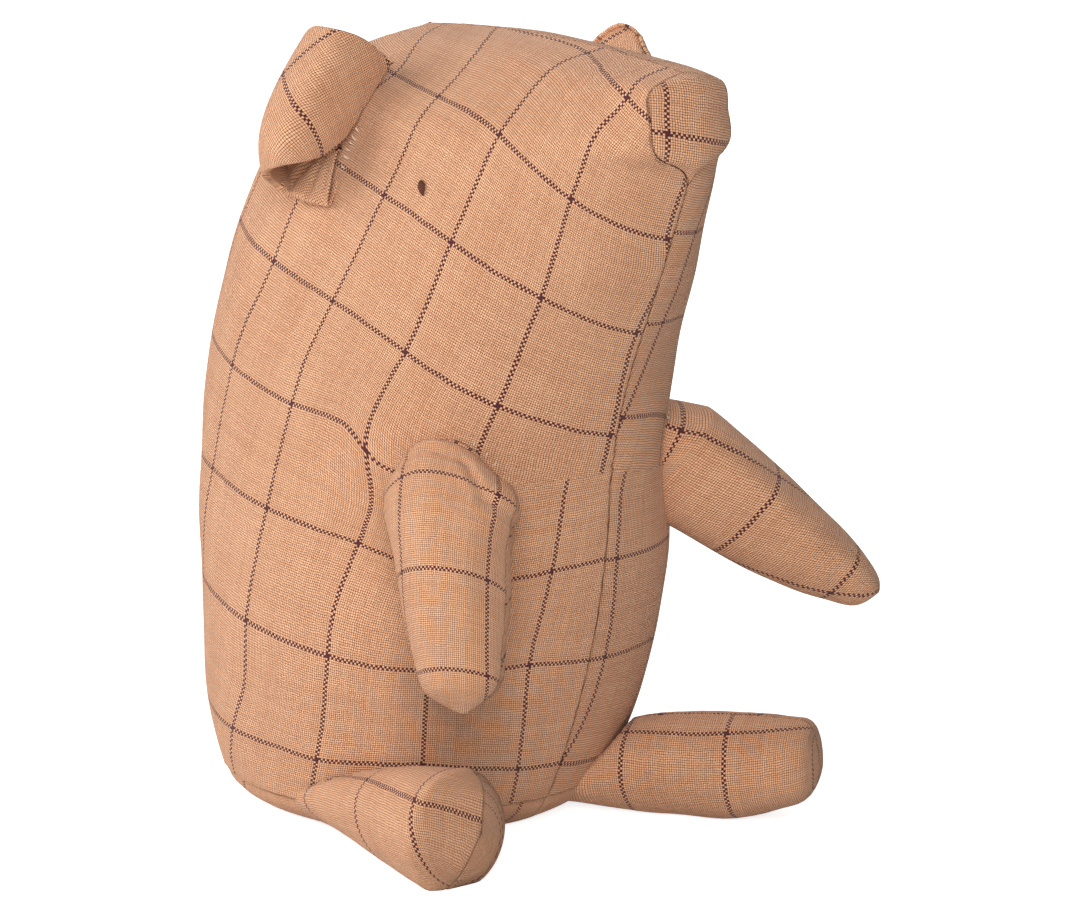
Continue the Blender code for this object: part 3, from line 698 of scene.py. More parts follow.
bead = weave.math("MULTIPLY", arch(warp_share), arch(weft_share))
filled = weave.math("SMOOTH_MIN", weave.math("MULTIPLY", bead, bead_fill), 1.0, bead_blend)
for label, value in (
        ("Stripe", weave.mix(warp_on_top, striped(weft_thread), striped(warp_thread), "FLOAT")),
        ("Tone", weave.mix(warp_on_top, thread_tone(weft_thread, warp_place, 3.0),
                           thread_tone(warp_thread, weft_place, 11.0), "FLOAT")),
        ("Height", weave.math("POWER", bead, bead_power)),
        ("Gap", weave.math("SUBTRACT", 1.0, filled))):
    weave.feed(weave_out.inputs[label], value)
print("weave group:", len(weave_tree.nodes), "nodes")

# %% [markdown]
# The linen itself mixes two near shades of thread and the plum threads. The holes between threads
# are painted with a dark shade, and the same painted shade darkens the cloth just beside a seam.
# It is rough and takes a faint sheen from its fibres.

# %% Linen
def new_material(name, roughness):
    """A material, its shader and its nodes."""
    material = bpy.data.materials.new(name)
    material.use_nodes = True
    shader = material.node_tree.nodes["Principled BSDF"]
    shader.inputs["Roughness"].default_value = roughness
    shader.inputs["Specular IOR Level"].default_value = 0.25
    return material, shader, Nodes(material.node_tree)


light_thread = (0.96, 0.54, 0.315, 1.0)
dark_thread = (0.68, 0.30, 0.15, 1.0)
plum_thread = (0.085, 0.014, 0.024, 1.0)
# Painted shade: the dark colour given to the holes between threads and to the cloth beside a seam.
painted_hole_shade = (0.10, 0.028, 0.012, 1.0)
# Painted seam shade: how near a seam, in millimetres, and how strongly the cloth is darkened.
painted_seam_shade_reach, painted_seam_shade_share = 0.22, 0.75
broad_scale, broad_shade = 0.035, 0.5
thread_bump, thread_height = 0.8, 0.00025

linen, linen_shader, linen_nodes = new_material("linen", 0.92)
linen_shader.inputs["Sheen Weight"].default_value = 0.12
linen_shader.inputs["Sheen Roughness"].default_value = 0.5
cloth_place = linen_nodes.add("Attribute", attribute_name="cloth").outputs["Vector"]
woven = linen_nodes.add("Group", node_tree=weave_tree, sockets={"Cloth": cloth_place}).outputs
broad = linen_nodes.math("SUBTRACT", linen_nodes.noise(cloth_place, broad_scale, 3.0), 0.5)
tone = linen_nodes.math("ADD", woven["Tone"], linen_nodes.math("MULTIPLY", broad, broad_shade))
# The distance to a seam, in millimetres, fades the painted seam shade.
from_seam = linen_nodes.add("SeparateXYZ", cloth_place).outputs[2]
painted_seam_shade_fade = linen_nodes.math("EXPONENT", linen_nodes.math(
    "MULTIPLY", from_seam, -1 / painted_seam_shade_reach))
linen_colour = linen_nodes.mix(tone, dark_thread, light_thread)
# Plum threads, then painted shade in the holes between threads and beside the seams.
for amount, shade in ((woven["Stripe"], plum_thread), (woven["Gap"], painted_hole_shade),
                      (linen_nodes.math("MULTIPLY", painted_seam_shade_fade, painted_seam_shade_share), painted_hole_shade)):
    linen_colour = linen_nodes.mix(amount, linen_colour, shade)
linen_nodes.feed(linen_shader.inputs["Base Color"], linen_colour)
linen_nodes.feed(linen_shader.inputs["Normal"],
                 linen_nodes.bump(woven["Height"], thread_bump, thread_height))


fibre_bump, fibre_height = 0.5, 0.0001


def plain_material(name, colour, roughness, noise_scale, contrast):
    """A finish of one colour with fine fibres in it."""
    material, shader, nodes = new_material(name, roughness)
    fibre = nodes.noise(nodes.add("TexCoord").outputs["Object"], noise_scale, 4.0)
    dark, light = (tuple(min(c * (1 + way * contrast), 1.0) for c in colour) + (1.0,)
                   for way in (-1, 1))
    nodes.feed(shader.inputs["Base Color"], nodes.mix(fibre, dark, light))
    nodes.feed(shader.inputs["Normal"], nodes.bump(fibre, fibre_bump, fibre_height))
    return material


pale_thread = plain_material("pale_thread", (0.80, 0.64, 0.49), 0.8, 4000.0, 0.25)
eye_thread = plain_material("eye_thread", (0.09, 0.027, 0.014), 0.7, 2600.0, 0.8)
fibre_filling = plain_material("polyester_filling", (0.85, 0.84, 0.80), 0.95, 900.0, 0.1)
bag_calico = plain_material("bag_calico", (0.75, 0.70, 0.60), 0.9, 1500.0, 0.15)
print("materials:", [m.name for m in (linen, pale_thread, eye_thread, fibre_filling, bag_calico)])

# %% [markdown]
# A finished piece has a material and the body that it rides on, and the solid that it stands for
# is hidden. A crease is a groove along a path, shallower at its ends.

# %% Dress and crease a piece
groove_ends = 0.05


def eased(share):
    """A share from 0 to 1 that starts and ends gently."""
    share = np.clip(share, 0.0, 1.0)
    return share * share * (3 - 2 * share)


def dress(piece, body, material, nodes):
    """Give a piece its finish and the body it rides on, and hide the solids that it stands for."""
    piece.data.materials.append(material)
    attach(piece, body)
    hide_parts(*nodes)
    return piece


def groove(points, path, depth, reach, lip=0.0, lip_reach=0.004):
    """A crease along a path, with the cloth swelling beside it."""
    gap = np.full(points.shape[:-1], np.inf)
    share = np.zeros(points.shape[:-1])
    for number, (start, end) in enumerate(zip(path[:-1], path[1:])):
        line = end - start
        step = np.clip(((points - start) @ line) / (line @ line), 0.0, 1.0)
        away = np.linalg.norm(points - start - step[..., None] * line, axis=-1)
        share = np.where(away < gap, (number + step) / (len(path) - 1), share)
        gap = np.minimum(gap, away)
    fade = np.sin(pi * (groove_ends + share * (1 - 2 * groove_ends))) ** 0.5
    return fade * (lip * np.exp(-(gap / lip_reach) ** 2) - depth * np.exp(-(gap / reach) ** 2))

# %% [markdown]
# Each side of the body is one panel, from the centre front seam to the centre back seam. The dart
# under the chin takes up most of a check: below it the weave is laid by the marks on the belly.

# %% Cut and sew the side panels
side_lift, girth_row = 0.00008, 4.0
side_swell, side_waves, side_fade = 0.00035, (0.016, 0.05), 0.006
dart_crease = (0.0009, 0.0007, 0.0005, 0.004)
dart_row_reach, dart_blend_rate, dart_edge = 0.6, 6.0, 1e-4

panel_places = spaced(forms[1].surface, base_seam_share, top_row, 0.5, count=300)
panel_turns = spaced(forms[1].surface, 0.0, 1.0, girth_row, False, count=300)
print("side panel:", len(panel_places), "by", len(panel_turns), "points")


def dart_row(side, turns):
    """The row that the dart follows at a turn."""
    end_place, end_turn = dart_ends[side]
    share = np.clip(turns / end_turn, 0.0, dart_reaches[side])
    return dart_seam_place + (end_place - dart_seam_place) * share


def below_dart(marks, left_out, added):
    """The marks that tell of the weave below the dart."""
    kept = {number: line for number, line in marks.items() if number not in left_out}
    return {number: kept.get(number, []) + added.get(number, [])
            for number in set(kept) | set(added)}


def side_panel(name, side, marks, belly_marks):
    """One side of body and head."""
    form = forms[side]
    places, turns = np.meshgrid(panel_places, panel_turns, indexing="ij")
    along_dart = dart_row(side, turns)
    nearest = panel_places[np.argmin(np.abs(panel_places - dart_row(side, 0.0)))]
    places += (along_dart - nearest) * np.exp(-((places - nearest) / dart_row_reach) ** 2)
    places[0], places[-1] = panel_places[0], panel_places[-1]
    points = body_form(places, turns, side)
    points[..., 0] += side * side_lift
    phases = {"front": 1.0 + side, "back": 2.5 + side, "bottom": 4.0 + side, "top": 5.5 + side}
    relief, seam = seam_relief(points, phases, 11 + side, side_swell, side_waves, side_fade)
    tip = dart_ends[side][1] * dart_reaches[side]
    tip_row = dart_row(side, tip)
    relief += groove(points, (body_form(dart_seam_place, 0.0, side),
                              body_form(tip_row, tip, side)), *dart_crease)
    up_weave, ways = laid_weave(form, *marks)
    low_weave, _ = laid_weave(form, *belly_marks, like=ways)
    at, tip_at = form.flat_at(places, turns), form.flat_at(tip_row, tip)
    whole_checks = np.round((up_weave(tip_at) - low_weave(tip_at)) / check_size)
    up, low = up_weave(at), low_weave(at) + whole_checks * check_size
    below = along_dart - places
    blend = eased(below / np.maximum((turns - tip) * dart_blend_rate, 1e-3) + 0.5)[..., None]
    joined = up * (1 - blend) + low * blend
    behind = (turns > tip)[..., None]
    facing = normals_of(points, -side)
    piece = cloth_piece(name, points + facing * relief[..., None], facing, -side,
                        np.where(behind, joined, up), seam, ("bottom", "top", "front", "back"),
                        np.where(behind, joined, low), (below > dart_edge).astype(float))
    return dress(piece, "body", linen, [name])


side_panels = [
    side_panel("right_side_panel", -1, (right_lengthwise_marks, right_crosswise_marks),
               (below_dart(right_lengthwise_marks, (4, 5), belly_lengthwise_marks),
                below_dart(right_crosswise_marks, (0, 1, 2, 3), belly_crosswise_marks))),
    side_panel("left_side_panel", 1, (left_lengthwise_marks, left_crosswise_marks),
               (left_belly_lengthwise_marks, left_belly_crosswise_marks)),
]
print("side panels:", sum(len(piece.data.polygons) for piece in side_panels), "faces")

# %% [markdown]
# The snout is closed by a shield, and the seat by an oval that turns up to the base seam.

# %% Nose and seat
nose_overlap, nose_girth_row = 0.0002, 9.6
nose_lengthwise_marks = {0: [(646, 82), (655, 98), (661, 121), (663, 140), (658, 166)]}
nose_crosswise_marks = {0: [(649, 130), (672, 136), (700, 144), (723, 150)]}
head_middle, body_middle = np.array([0.0, 0.0, 0.18]), np.array([0.0, 0.0, 0.1])
seat_lift, seat_cloth_start = 0.00005, 0.009
weave_grid = (25, 17)
seat_turned_rows, seat_rows, seat_columns = 7, 9, 181
panel_waves, panel_fade = (0.012, 0.035), 0.005


def nose_form(place, turn):
    """The flat shield of the snout, from its near edge to its far edge."""
    place, turn = spread(place, turn)
    front = body_form(place, 0.0, 1)
    across = 2 * turn - 1
    half = np.maximum(front[..., 0] + nose_overlap, 0.0)
    bulge = nose_swell * (1 - across ** 2) * np.minimum(half / (nose_width / 4), 1.0)
    return np.stack([half * across, front[..., 1] - bulge, front[..., 2]], -1)


def panel_weave(surface, places, turns, lengthwise, crosswise):
    """The weave of a panel, laid by its marks, at any place and turn."""
    rows, columns = (np.linspace(0, len(line) - 1, count).astype(int)
                     for line, count in zip((places, turns), weave_grid))
    form = Form(surface, places[rows], turns[columns])
    weave_at, _ = laid_weave(form, lengthwise, crosswise)
    return lambda place, turn: weave_at(form.flat_at(place, turn))


def sewn_sheet(name, surface, places, turns, inside, weave_at, seams, phase, uneven=0.0002,
               level=None, edges=(), creases=(), bare=0.0):
    """A panel cut from a surface, with its weave, its seams turned in and its creases."""
    places, turns = places[:, None], turns[None, :]
    points = surface(places, turns)
    facing = normals_of(points, 1)
    outward = 1 if (facing * (points - inside)).sum() > 0 else -1
    facing *= outward
    if level is not None:
        facing[-1] = level
    relief, seam = seam_relief(points, {edge: phase + len(edge) for edge in seams},
                               int(phase * 7), uneven, panel_waves, panel_fade)
    for path, *crease in creases:
        relief += groove(points, path, *crease)
    # bare is added to the distance to a seam; a larger one leaves less painted seam shade at the
    # edges.
    return cloth_piece(name, points + facing * relief[..., None], facing, outward,
                       weave_at(places, turns), seam + bare, edges or seams)


nose_places = spaced(nose_form, snout_row, top_row, 0.5)
nose_turns = spaced(nose_form, 0.0, 1.0, nose_girth_row, False)
nose_weave = panel_weave(nose_form, nose_places, nose_turns, nose_lengthwise_marks,
                         nose_crosswise_marks)
nose = sewn_sheet("nose_panel", nose_form, nose_places, nose_turns, head_middle, nose_weave,
                  ("bottom", "top", "front", "back"), 0.7)
dress(nose, "body", linen, ["nose_panel"])


def base_form(place, turn):
    """The seat: from the base seam down to the floor and in to the middle."""
    place, turn = spread(place, turn)
    around = np.where(turn < 0.5, 2 * turn, 2 - 2 * turn)
    side = np.where(turn < 0.5, -1.0, 1.0)
    rim = body_form(base_seam_share * np.clip(1 - place, 0, 1), around, 1)
    shrink = np.clip(2 - place, 0, 1)
    return np.stack([side * rim[..., 0] * shrink, rim[..., 1] * shrink,
                     rim[..., 2] + seat_lift], -1)


def seat_weave(place, turn):
    """The seat's weave: square to the pig underneath, and run on up the sides."""
    points = base_form(place, turn)
    flat = points[..., :2]
    reach = np.maximum(np.linalg.norm(flat, axis=-1, keepdims=True), 0.001)
    return flat * (1 + points[..., 2:] / reach) + seat_cloth_start


seat_places = np.append(np.linspace(0, 1, seat_turned_rows)[:-1], np.linspace(1, 2, seat_rows))
seat_turns = np.linspace(0, 1, seat_columns)
seat = sewn_sheet("base_panel", base_form, seat_places, seat_turns, body_middle, seat_weave,
                  ("bottom",), 1.3, 0.0)
dress(seat, "body", linen, ["base_panel"])
print("nose and seat:", len(nose.data.polygons) + len(seat.data.polygons), "faces")

# %% [markdown]
# Arms and legs are tubes of two panels, with a seam down each side. Arms are sewn on flat at the
# shoulder; legs are sewn into the base seam and lie on the floor. The rows of a limb say how far
# along a section is, its width, its swell, and how far it is raised.

# %% Sections of the limbs
right_arm_length, left_arm_length, arm_width = 0.065, 0.069, 0.026
leg_width, leg_height, flat_cut, leg_clearance = 0.0272, 0.0262, 0.0005, 0.0005
arm_press, root_press, root_closing, root_reach, shut_inset = 0.0025, 0.0022, 0.2, 0.1, 0.001
toe_start, sole_start, sole_place, sole_blend = 0.6, 0.96, 6 / 7, 0.45
pinch_reach, pinch_power, body_step = 0.4, 2.4, 0.25
limb_grid, closing_rows, closing_end, limb_uneven = (61, 97), 9, 0.97, 0.0003
one_line_slack, line_slack, lean_slack = 4.0, 0.3, 0.2

far_arm_row_shares = np.array([
    (0.00, 0.94, 0.55, 0.0),
    (0.10, 1.05, 0.98, 0.0),
    (0.28, 1.07, 1.05, 0.0),
    (0.50, 1.00, 1.02, 0.0),
    (0.70, 0.90, 0.86, 0.0),
    (0.86, 0.72, 0.62, 0.0),
    (0.96, 0.45, 0.38, 0.0),
    (1.00, 0.00, 0.00, 0.0),
])
near_arm_row_shares = np.array([
    (0.00, 0.92, 0.12, 0.0),
    (0.10, 1.13, 0.56, 0.0),
    (0.24, 1.19, 0.90, 0.0),
    (0.42, 1.07, 1.00, 0.0),
    (0.62, 0.98, 0.96, 0.0),
    (0.78, 0.84, 0.84, 0.0),
    (0.91, 0.67, 0.62, 0.0),
    (1.00, 0.00, 0.00, 0.0),
])
near_leg_row_shares = np.array([
    (0.000, 1.08, 0.36, 0.46),
    (0.080, 1.08, 0.46, 0.62),
    (0.220, 1.06, 0.62, 0.84),
    (0.420, 1.02, 0.82, 0.95),
    (0.640, 1.01, 1.00, 1.00),
    (0.840, 1.00, 1.17, 1.00),
    (0.965, 0.90, 1.16, 1.00),
    (1.000, 0.00, 0.00, 1.00),
])
far_leg_row_shares = np.array([
    (0.00, 1.08, 0.50, 0.50),
    (0.08, 1.08, 0.70, 0.72),
    (0.22, 1.06, 0.88, 0.90),
    (0.42, 1.02, 0.97, 0.97),
    (0.64, 1.01, 1.00, 1.00),
    (0.84, 1.00, 1.00, 1.00),
    (0.96, 0.86, 0.88, 1.00),
    (1.00, 0.00, 0.00, 1.00),
])

# %% [markdown]
# A limb's surface runs along its rows and round them. Its root is pressed into the body's cloth.
# A leg lies on the floor, and behind its root it is drawn shut.

# %% Form of a limb
def beside_body(points, clearance, cling):
    """Points of a limb kept outside the body that swells over it, and its root kept on it."""
    rows = np.arange(0, snout_row + 2 * body_step, body_step)
    place = np.interp(points[..., 2], body_form(rows, 0.5, 1)[:, 2], rows)
    front, back = body_form(place, 0.0, 1)[..., 1], body_form(place, 1.0, 1)[..., 1]
    half_width = body_form(place, 0.5, 1)[..., 0] + clearance
    half_depth = (back - front) / 2 + clearance
    middle = (front + back) / 2
    reach = np.hypot(points[..., 0] / half_width, (points[..., 1] - middle) / half_depth)
    reach = np.where(reach > 1.0, 1 + (reach - 1) * cling, reach)[..., None]
    centre = np.stack([0 * middle, middle, points[..., 2]], -1)
    return centre + (points - centre) / reach


def hinge_line(joint):
    """A limb's hinge: its root, the line that it turns on, and the way out of the body."""
    root = np.array(hinges[joint]["pos_m"])
    axis = np.array(hinges[joint]["axis"])
    out = np.array([axis[1], -axis[0], 0.0])
    way = 1.0 if out @ root > 0 else -1.0
    return root, axis * way, out * way


class Limb:
    """A stuffed limb on its hinge: a heading and rows of sections."""

    def __init__(self, joint, heading, up, length, half_width, swells, rows, lift=0.0,
                 round_top=0.0, under_fill=0.0, on_floor=False, sole_shift=0.0, toe_rise=0.0):
        self.root, self.axis, _ = hinge_line(joint)
        self.heading, self.up = heading, up
        self.length, self.half_width, self.swells = length, half_width, swells
        self.rows, self.lift, self.on_floor = rows, lift, on_floor
        self.round_top, self.under_fill = round_top, under_fill
        self.sole_shift, self.toe_rise = sole_shift, toe_rise
        self.foot_axis = np.cross(up, heading)
        self.foot_axis /= np.linalg.norm(self.foot_axis)
        if self.foot_axis @ self.axis < 0:
            self.foot_axis = -self.foot_axis

    def seen_angle(self):
        """The angle round the limb that faces the camera."""
        return float(np.arctan2(self.up @ camera_back, self.foot_axis @ camera_back)) % tau

    def surface(self, start, span=pi):
        """The surface of one panel, from the seam at an angle to the seam opposite."""
        def points(place, turn):
            place, turn = spread(place, turn)
            shut = np.clip(-place / root_closing, 0.0, 1.0)[..., None]
            angle = start + span * turn
            along, width, swell, raised = np.moveaxis(
                along_rows(self.rows, place * (len(self.rows) - 1)), -1, 0)
            share = np.clip(along, 0, 1)
            across = unit(self.axis * (1 - share[..., None]) + self.foot_axis * share[..., None])
            thick = np.where(np.sin(angle) >= 0, *self.swells)
            toe = np.clip((share - toe_start) / (1 - toe_start), 0, 1) ** 1.5
            below = np.sin(angle) < 0
            thick = thick * (1 - self.toe_rise * toe * below)
            swell = np.maximum(swell, 0) + self.under_fill * below * (1 - share) ** 3
            sink = (self.round_top * np.abs(np.cos(angle)) ** pinch_power
                    * np.clip(1 - share / pinch_reach, 0, 1) ** 1.5)
            spot = (self.root + self.heading * (self.length * along + sink)[..., None]
                    + self.up * (self.lift * raised)[..., None]
                    + across * (np.maximum(width, 0) * self.half_width * np.cos(angle))[..., None]
                    + self.up * (swell * thick * np.sin(angle))[..., None])
            at_root = np.clip(1 - share / root_reach, 0.0, 1.0)
            if self.on_floor:
                inner = np.clip((share - sole_start) / (1 - sole_start), 0.0, 1.0)
                spot += self.foot_axis * (self.sole_shift * inner)[..., None]
                spot[..., 2] = np.maximum(spot[..., 2], 0.0)
                spot = beside_body(spot, leg_clearance - root_press * at_root, at_root)
            elif self.under_fill:
                spot = beside_body(spot, -arm_press, at_root)
            middle = self.root + self.up * self.lift * self.rows[0, 3] + self.heading * shut_inset
            return spot + (middle - spot) * shut
        return points


def make_arm(joint, side, length, drop, swing, swells, round_top, under_fill):
    """An arm hanging from its shoulder line."""
    _, axis, out = hinge_line(joint)
    rise = np.array([0.0, 0.0, 1.0])
    heading = out * cos(drop) + rise * sin(drop)
    up = rise * cos(drop) - out * sin(drop)
    heading = heading * cos(swing) - axis * side * sin(swing)
    rows = near_arm_row_shares if side < 0 else far_arm_row_shares
    return Limb(joint, heading, up, length, arm_width / 2, swells, rows, 0.0, round_top,
                under_fill)


def make_leg(joint, rows, heading_angle, reach, sole_shift, toe_rise):
    """A leg lying on the floor."""
    heading = np.array([cos(heading_angle), sin(heading_angle), 0.0])
    lift = leg_height / 2 - flat_cut - hinges[joint]["pos_m"][2]
    return Limb(joint, heading, np.array([0.0, 0.0, 1.0]), reach, leg_width / 2,
                (leg_height / 2, leg_height / 2), rows, lift, on_floor=True,
                sole_shift=sole_shift, toe_rise=toe_rise)

# %% [markdown]
# On a limb the weave is measured round it and along it, and low curves bring it to the marks. A
# leg's panel runs straight over the end of the foot.

# %% Lay the weave on a limb
def whole_form(limb, start):
    """A limb all round, with its weave's own distances along it and round it."""
    around = limb.surface(start, tau)
    places, turns = (np.linspace(0, 1, count) for count in limb_grid)
    points = around(places[:, None], turns[None, :])
    middle = int(round((limb.seen_angle() - start) % tau / tau * (len(turns) - 1)))
    girth = lengths(points, 1)
    girth = girth - girth[:, middle:middle + 1]
    run = np.repeat(lengths(points, 0)[:, middle:middle + 1], len(turns), 1)
    return Form(around, places, turns, np.stack([girth, run], -1))


def limb_weave(form, lengthwise, crosswise):
    """The weave along and round a limb, on low curves fitted to its marks."""
    def terms_of(own, other):
        return np.stack([np.ones_like(own), own, other, other ** 2], -1)

    fits = []
    for axis, table in enumerate((lengthwise, crosswise)):
        slack = np.diag([0.0, one_line_slack if len(table) == 1 else line_slack, lean_slack,
                         lean_slack])
        at = np.array([form.flat_mark(x, y) for line in table.values() for x, y in line])
        at /= check_size
        numbers = np.array([number for number, line in table.items() for _ in line], float)
        tries = []
        for flip in (1, -1):
            own = at[:, axis] * flip
            terms = terms_of(own, at[:, 1 - axis])
            solved = np.linalg.lstsq(np.vstack([terms, slack]),
                                     np.append(numbers - own, np.zeros(4)), rcond=None)[0]
            miss = float(np.abs(terms @ solved - (numbers - own)).max())
            tries.append((miss, flip, solved))
        fits.append(min(tries, key=lambda one: one[0]))
    print("limb weave off its marks by up to", [round(fit[0], 2) for fit in fits], "checks")

    def weave_at(place, turn, further=0.0):
        at = (form.flat_at(place, turn) + further) / check_size
        values = [at[..., axis] * flip + terms_of(at[..., axis] * flip, at[..., 1 - axis]) @ solved
                  for axis, (_, flip, solved) in enumerate(fits)]
        return np.stack(values, -1) * check_size
    return weave_at


def over_the_end(surface, place, turn):
    """How a leg's panel runs straight over the foot's end, as more of the weave's distances."""
    tip = surface(1.0, 0.5)
    radius = np.linalg.norm(surface(place, turn) - tip, axis=-1)
    rim = np.linalg.norm(surface(sole_place, turn) - tip, axis=-1)
    amount = eased((rim - radius) / (sole_blend * rim)) * (place > sole_place) * radius
    angle = pi * (turn - 0.5)
    shut = np.minimum(place, 0.0) / root_closing * leg_height / 2
    return np.stack([amount * (np.sin(angle) - angle), amount * (1 - np.cos(angle)) + shut], -1)

# %% [markdown]
# Each limb has an outer and an inner panel, and a seam on either side of them.

# %% Cut the limbs
def limb_panel(name, limb, body, start, half, weave_at, shift, seams, phase, creases):
    """One of the two panels of a limb."""
    surface = limb.surface(start + half * pi)
    step = mesh_step if limb.on_floor else fine_step
    places = evenly(surface, int(run_over(surface, 0, 1, 0.5)[1][-1] / step))
    edges = ("front", "back", "bottom")
    if limb.on_floor:
        closing = np.linspace(-root_closing, 0, closing_rows)[:-1] * closing_end
        places = np.append(closing, places)
        edges = ("front", "back")
    turns = spaced(surface, 0.0, 1.0, 0.5, False, step)
    inside = limb.root + limb.heading * limb.length / 2 + limb.up * limb.lift

    def cloth(place, turn):
        further = over_the_end(surface, place, turn) if limb.on_floor else 0.0
        return shift + weave_at(place, (turn + half) / 2, further)

    piece = sewn_sheet(name, surface, places, turns, inside, cloth, seams, phase,
                       limb_uneven, limb.heading, edges, creases)
    return dress(piece, body, linen, [name])


limbs = {
    "right_arm": make_arm("right_shoulder", -1, right_arm_length, radians(-72), radians(8.5),
                          (0.0125, 0.0062), 0.0085, 0.0),
    "left_arm": make_arm("left_shoulder", 1, left_arm_length, radians(-42), 0.0,
                         (0.0066, 0.0172), 0.0, 0.55),
    "right_leg": make_leg("right_hip", near_leg_row_shares, radians(-94), 0.0485, 0.0055, 0.1),
    "left_leg": make_leg("left_hip", far_leg_row_shares, radians(-55), 0.0585, 0.0, 0.55),
}

# %% [markdown]
# A crease is given by its two ends in the photo, by its depth and reach, and by the height and
# reach of the cloth that swells beside it.

# %% Marks and creases on the limbs, by place in the photo
limb_marks = {
    "right_arm": ({0: [(395, 446), (397, 473), (403, 515)],
                   1: [(491, 515), (484, 560), (486, 580), (480, 640), (488, 690)]},
                  {0: [(386, 490), (397, 473), (440, 467), (462, 480), (485, 497)],
                   1: [(403, 582), (440, 565), (480, 573), (498, 587)],
                   2: [(424, 676), (445, 662), (480, 660)]}),
    "left_arm": ({0: [(700, 427), (735, 450), (785, 475), (825, 513)],
                  1: [(660, 515), (735, 555), (800, 580), (850, 594)]},
                 {0: [(690, 425), (670, 447), (652, 470)],
                  1: [(785, 475), (758, 512), (735, 555)],
                  2: [(845, 545), (838, 565), (835, 590)]}),
    "right_leg": ({0: [(365, 777), (413, 797), (455, 809)]},
                  {0: [(366, 777), (354, 800), (358, 830), (365, 845)],
                   1: [(430, 775), (415, 797), (407, 820), (412, 850), (425, 866)]}),
    "left_leg": ({0: [(610, 740), (660, 735), (720, 732), (805, 726)]},
                 {0: [(630, 724), (622, 760), (628, 812)],
                  1: [(728, 722), (717, 740), (722, 780), (735, 814)]}),
}
limb_creases = {
    "right_arm": [(497, 484, 512, 512, 0.0, 0.001, 0.0022, 0.0045),
                  (482, 499, 513, 530, 0.0028, 0.0013, 0.0010, 0.004),
                  (398, 468, 430, 449, 0.0009, 0.0013, 0.0004, 0.003),
                  (430, 449, 468, 462, 0.0010, 0.0013, 0.0004, 0.003),
                  (464, 458, 480, 492, 0.0013, 0.0012, 0.0005, 0.003)],
    "left_arm": [(694, 421, 656, 466, 0.0014, 0.0018, 0.0004, 0.005),
                 (849, 548, 870, 572, 0.0006, 0.0005, 0.0002, 0.002),
                 (870, 572, 868, 594, 0.0006, 0.0005, 0.0002, 0.002)],
}

# %% Sew the limbs
leg_seam_turn, arm_seam_turn = radians(-22), radians(14)
hidden_shift = {False: (0.0, check_size / 2), True: (0.0, 0.0)}
limb_pieces = []
for body, limb in limbs.items():
    side = -1 if body.startswith("right") else 1
    start = 0.0
    if limb.on_floor:
        start = pi / 2 if limb.axis[0] * side < 0 else -pi / 2
        start += leg_seam_turn if side < 0 else 0.0
    elif side < 0:
        start = arm_seam_turn if limb.axis @ camera_right > 0 else -arm_seam_turn
    form = whole_form(limb, start)
    weave_at = limb_weave(form, *limb_marks[body])
    seen_half = int((limb.seen_angle() - start) % tau > pi)
    creases = [((form.point(*line[:2]), form.point(*line[2:4])),) + line[4:]
               for line in limb_creases.get(body, [])]
    for half, part in enumerate(("outer_panel", "inner_panel")):
        shift, seams = 0.0, ("front", "back")
        if body == "left_arm":
            seams = ("front",) if half == 0 else ("back",)
        elif half != seen_half:
            shift = np.array(hidden_shift[limb.on_floor]) - weave_at(1.0, (half + 0.5) / 2)
        limb_pieces.append(limb_panel(body + "_" + part, limb, body, start, half, weave_at, shift,
                                      seams, 1.0 + len(limb_pieces), creases))
print("limb panels:", len(limb_pieces))

# %% [markdown]
# Ears are two layers of linen on one curved form. The far ear is a cupped and twisted leaf. Its
# rows say how far along a section is, its width and how much it is cupped.

# %% Far ear
ear_length, ear_width, ear_cup, ear_bend = 0.0375, 0.030, 0.007, 0.004
ear_cup_start_share, ear_standoff, ear_twist = 0.25, 0.0013, radians(34)
# ear_bare_edge keeps the painted seam shade off the ears' edges.
seam_gap, ear_puff, ear_bare_edge, ear_inside = 0.0003, 0.0012, 0.002, 0.02
left_ear_seat, left_ear_tilt, left_ear_lean = (7.06, 0.560), radians(38), radians(17)
ear_rows, ear_girth_place, fold_grid, crease_points = 40, 0.6, (31, 21), 9
left_ear_marks = ({0: [(617, 22), (607, 35), (598, 48)]}, {0.5: [(610, 42)]})
ear_row_shares = np.array([
    (0.00, 0.50, 1.00),
    (0.20, 0.72, 0.95),
    (0.45, 0.95, 0.75),
    (0.68, 1.00, 0.55),
    (0.86, 0.90, 0.40),
    (0.96, 0.62, 0.25),
    (1.00, 0.25, 0.20),
])


def cut_area(points):
    """The area of a grid of points."""
    one = points[1:, 1:] - points[:-1, :-1]
    two = points[:-1, 1:] - points[1:, :-1]
    return float(np.linalg.norm(np.cross(one, two), axis=-1).sum() / 2)


def as_sheet(piece, points):
    """Print the size and area that an ear's layer was cut to."""
    size = (float(lengths(points, 1)[:, -1].max()), float(lengths(points, 0)[-1].max()))
    area = cut_area(points)
    print(piece.name, "cut to", [round(s * 1000, 1) for s in size], "mm,",
          round(area * 1e6), "square mm")


def body_outward(place, turn, side):
    """The direction that the body's cloth faces at a point."""
    step = 0.002
    up = body_form(place + step, turn, side) - body_form(place - step, turn, side)
    along = body_form(place, turn + step, side) - body_form(place, turn - step, side)
    facing = np.cross(up, along)
    middle = (body_form(place, 0.0, side) + body_form(place, 1.0, side)) / 2
    facing *= 1 if facing @ (body_form(place, turn, side) - middle) > 0 else -1
    return facing / np.linalg.norm(facing)


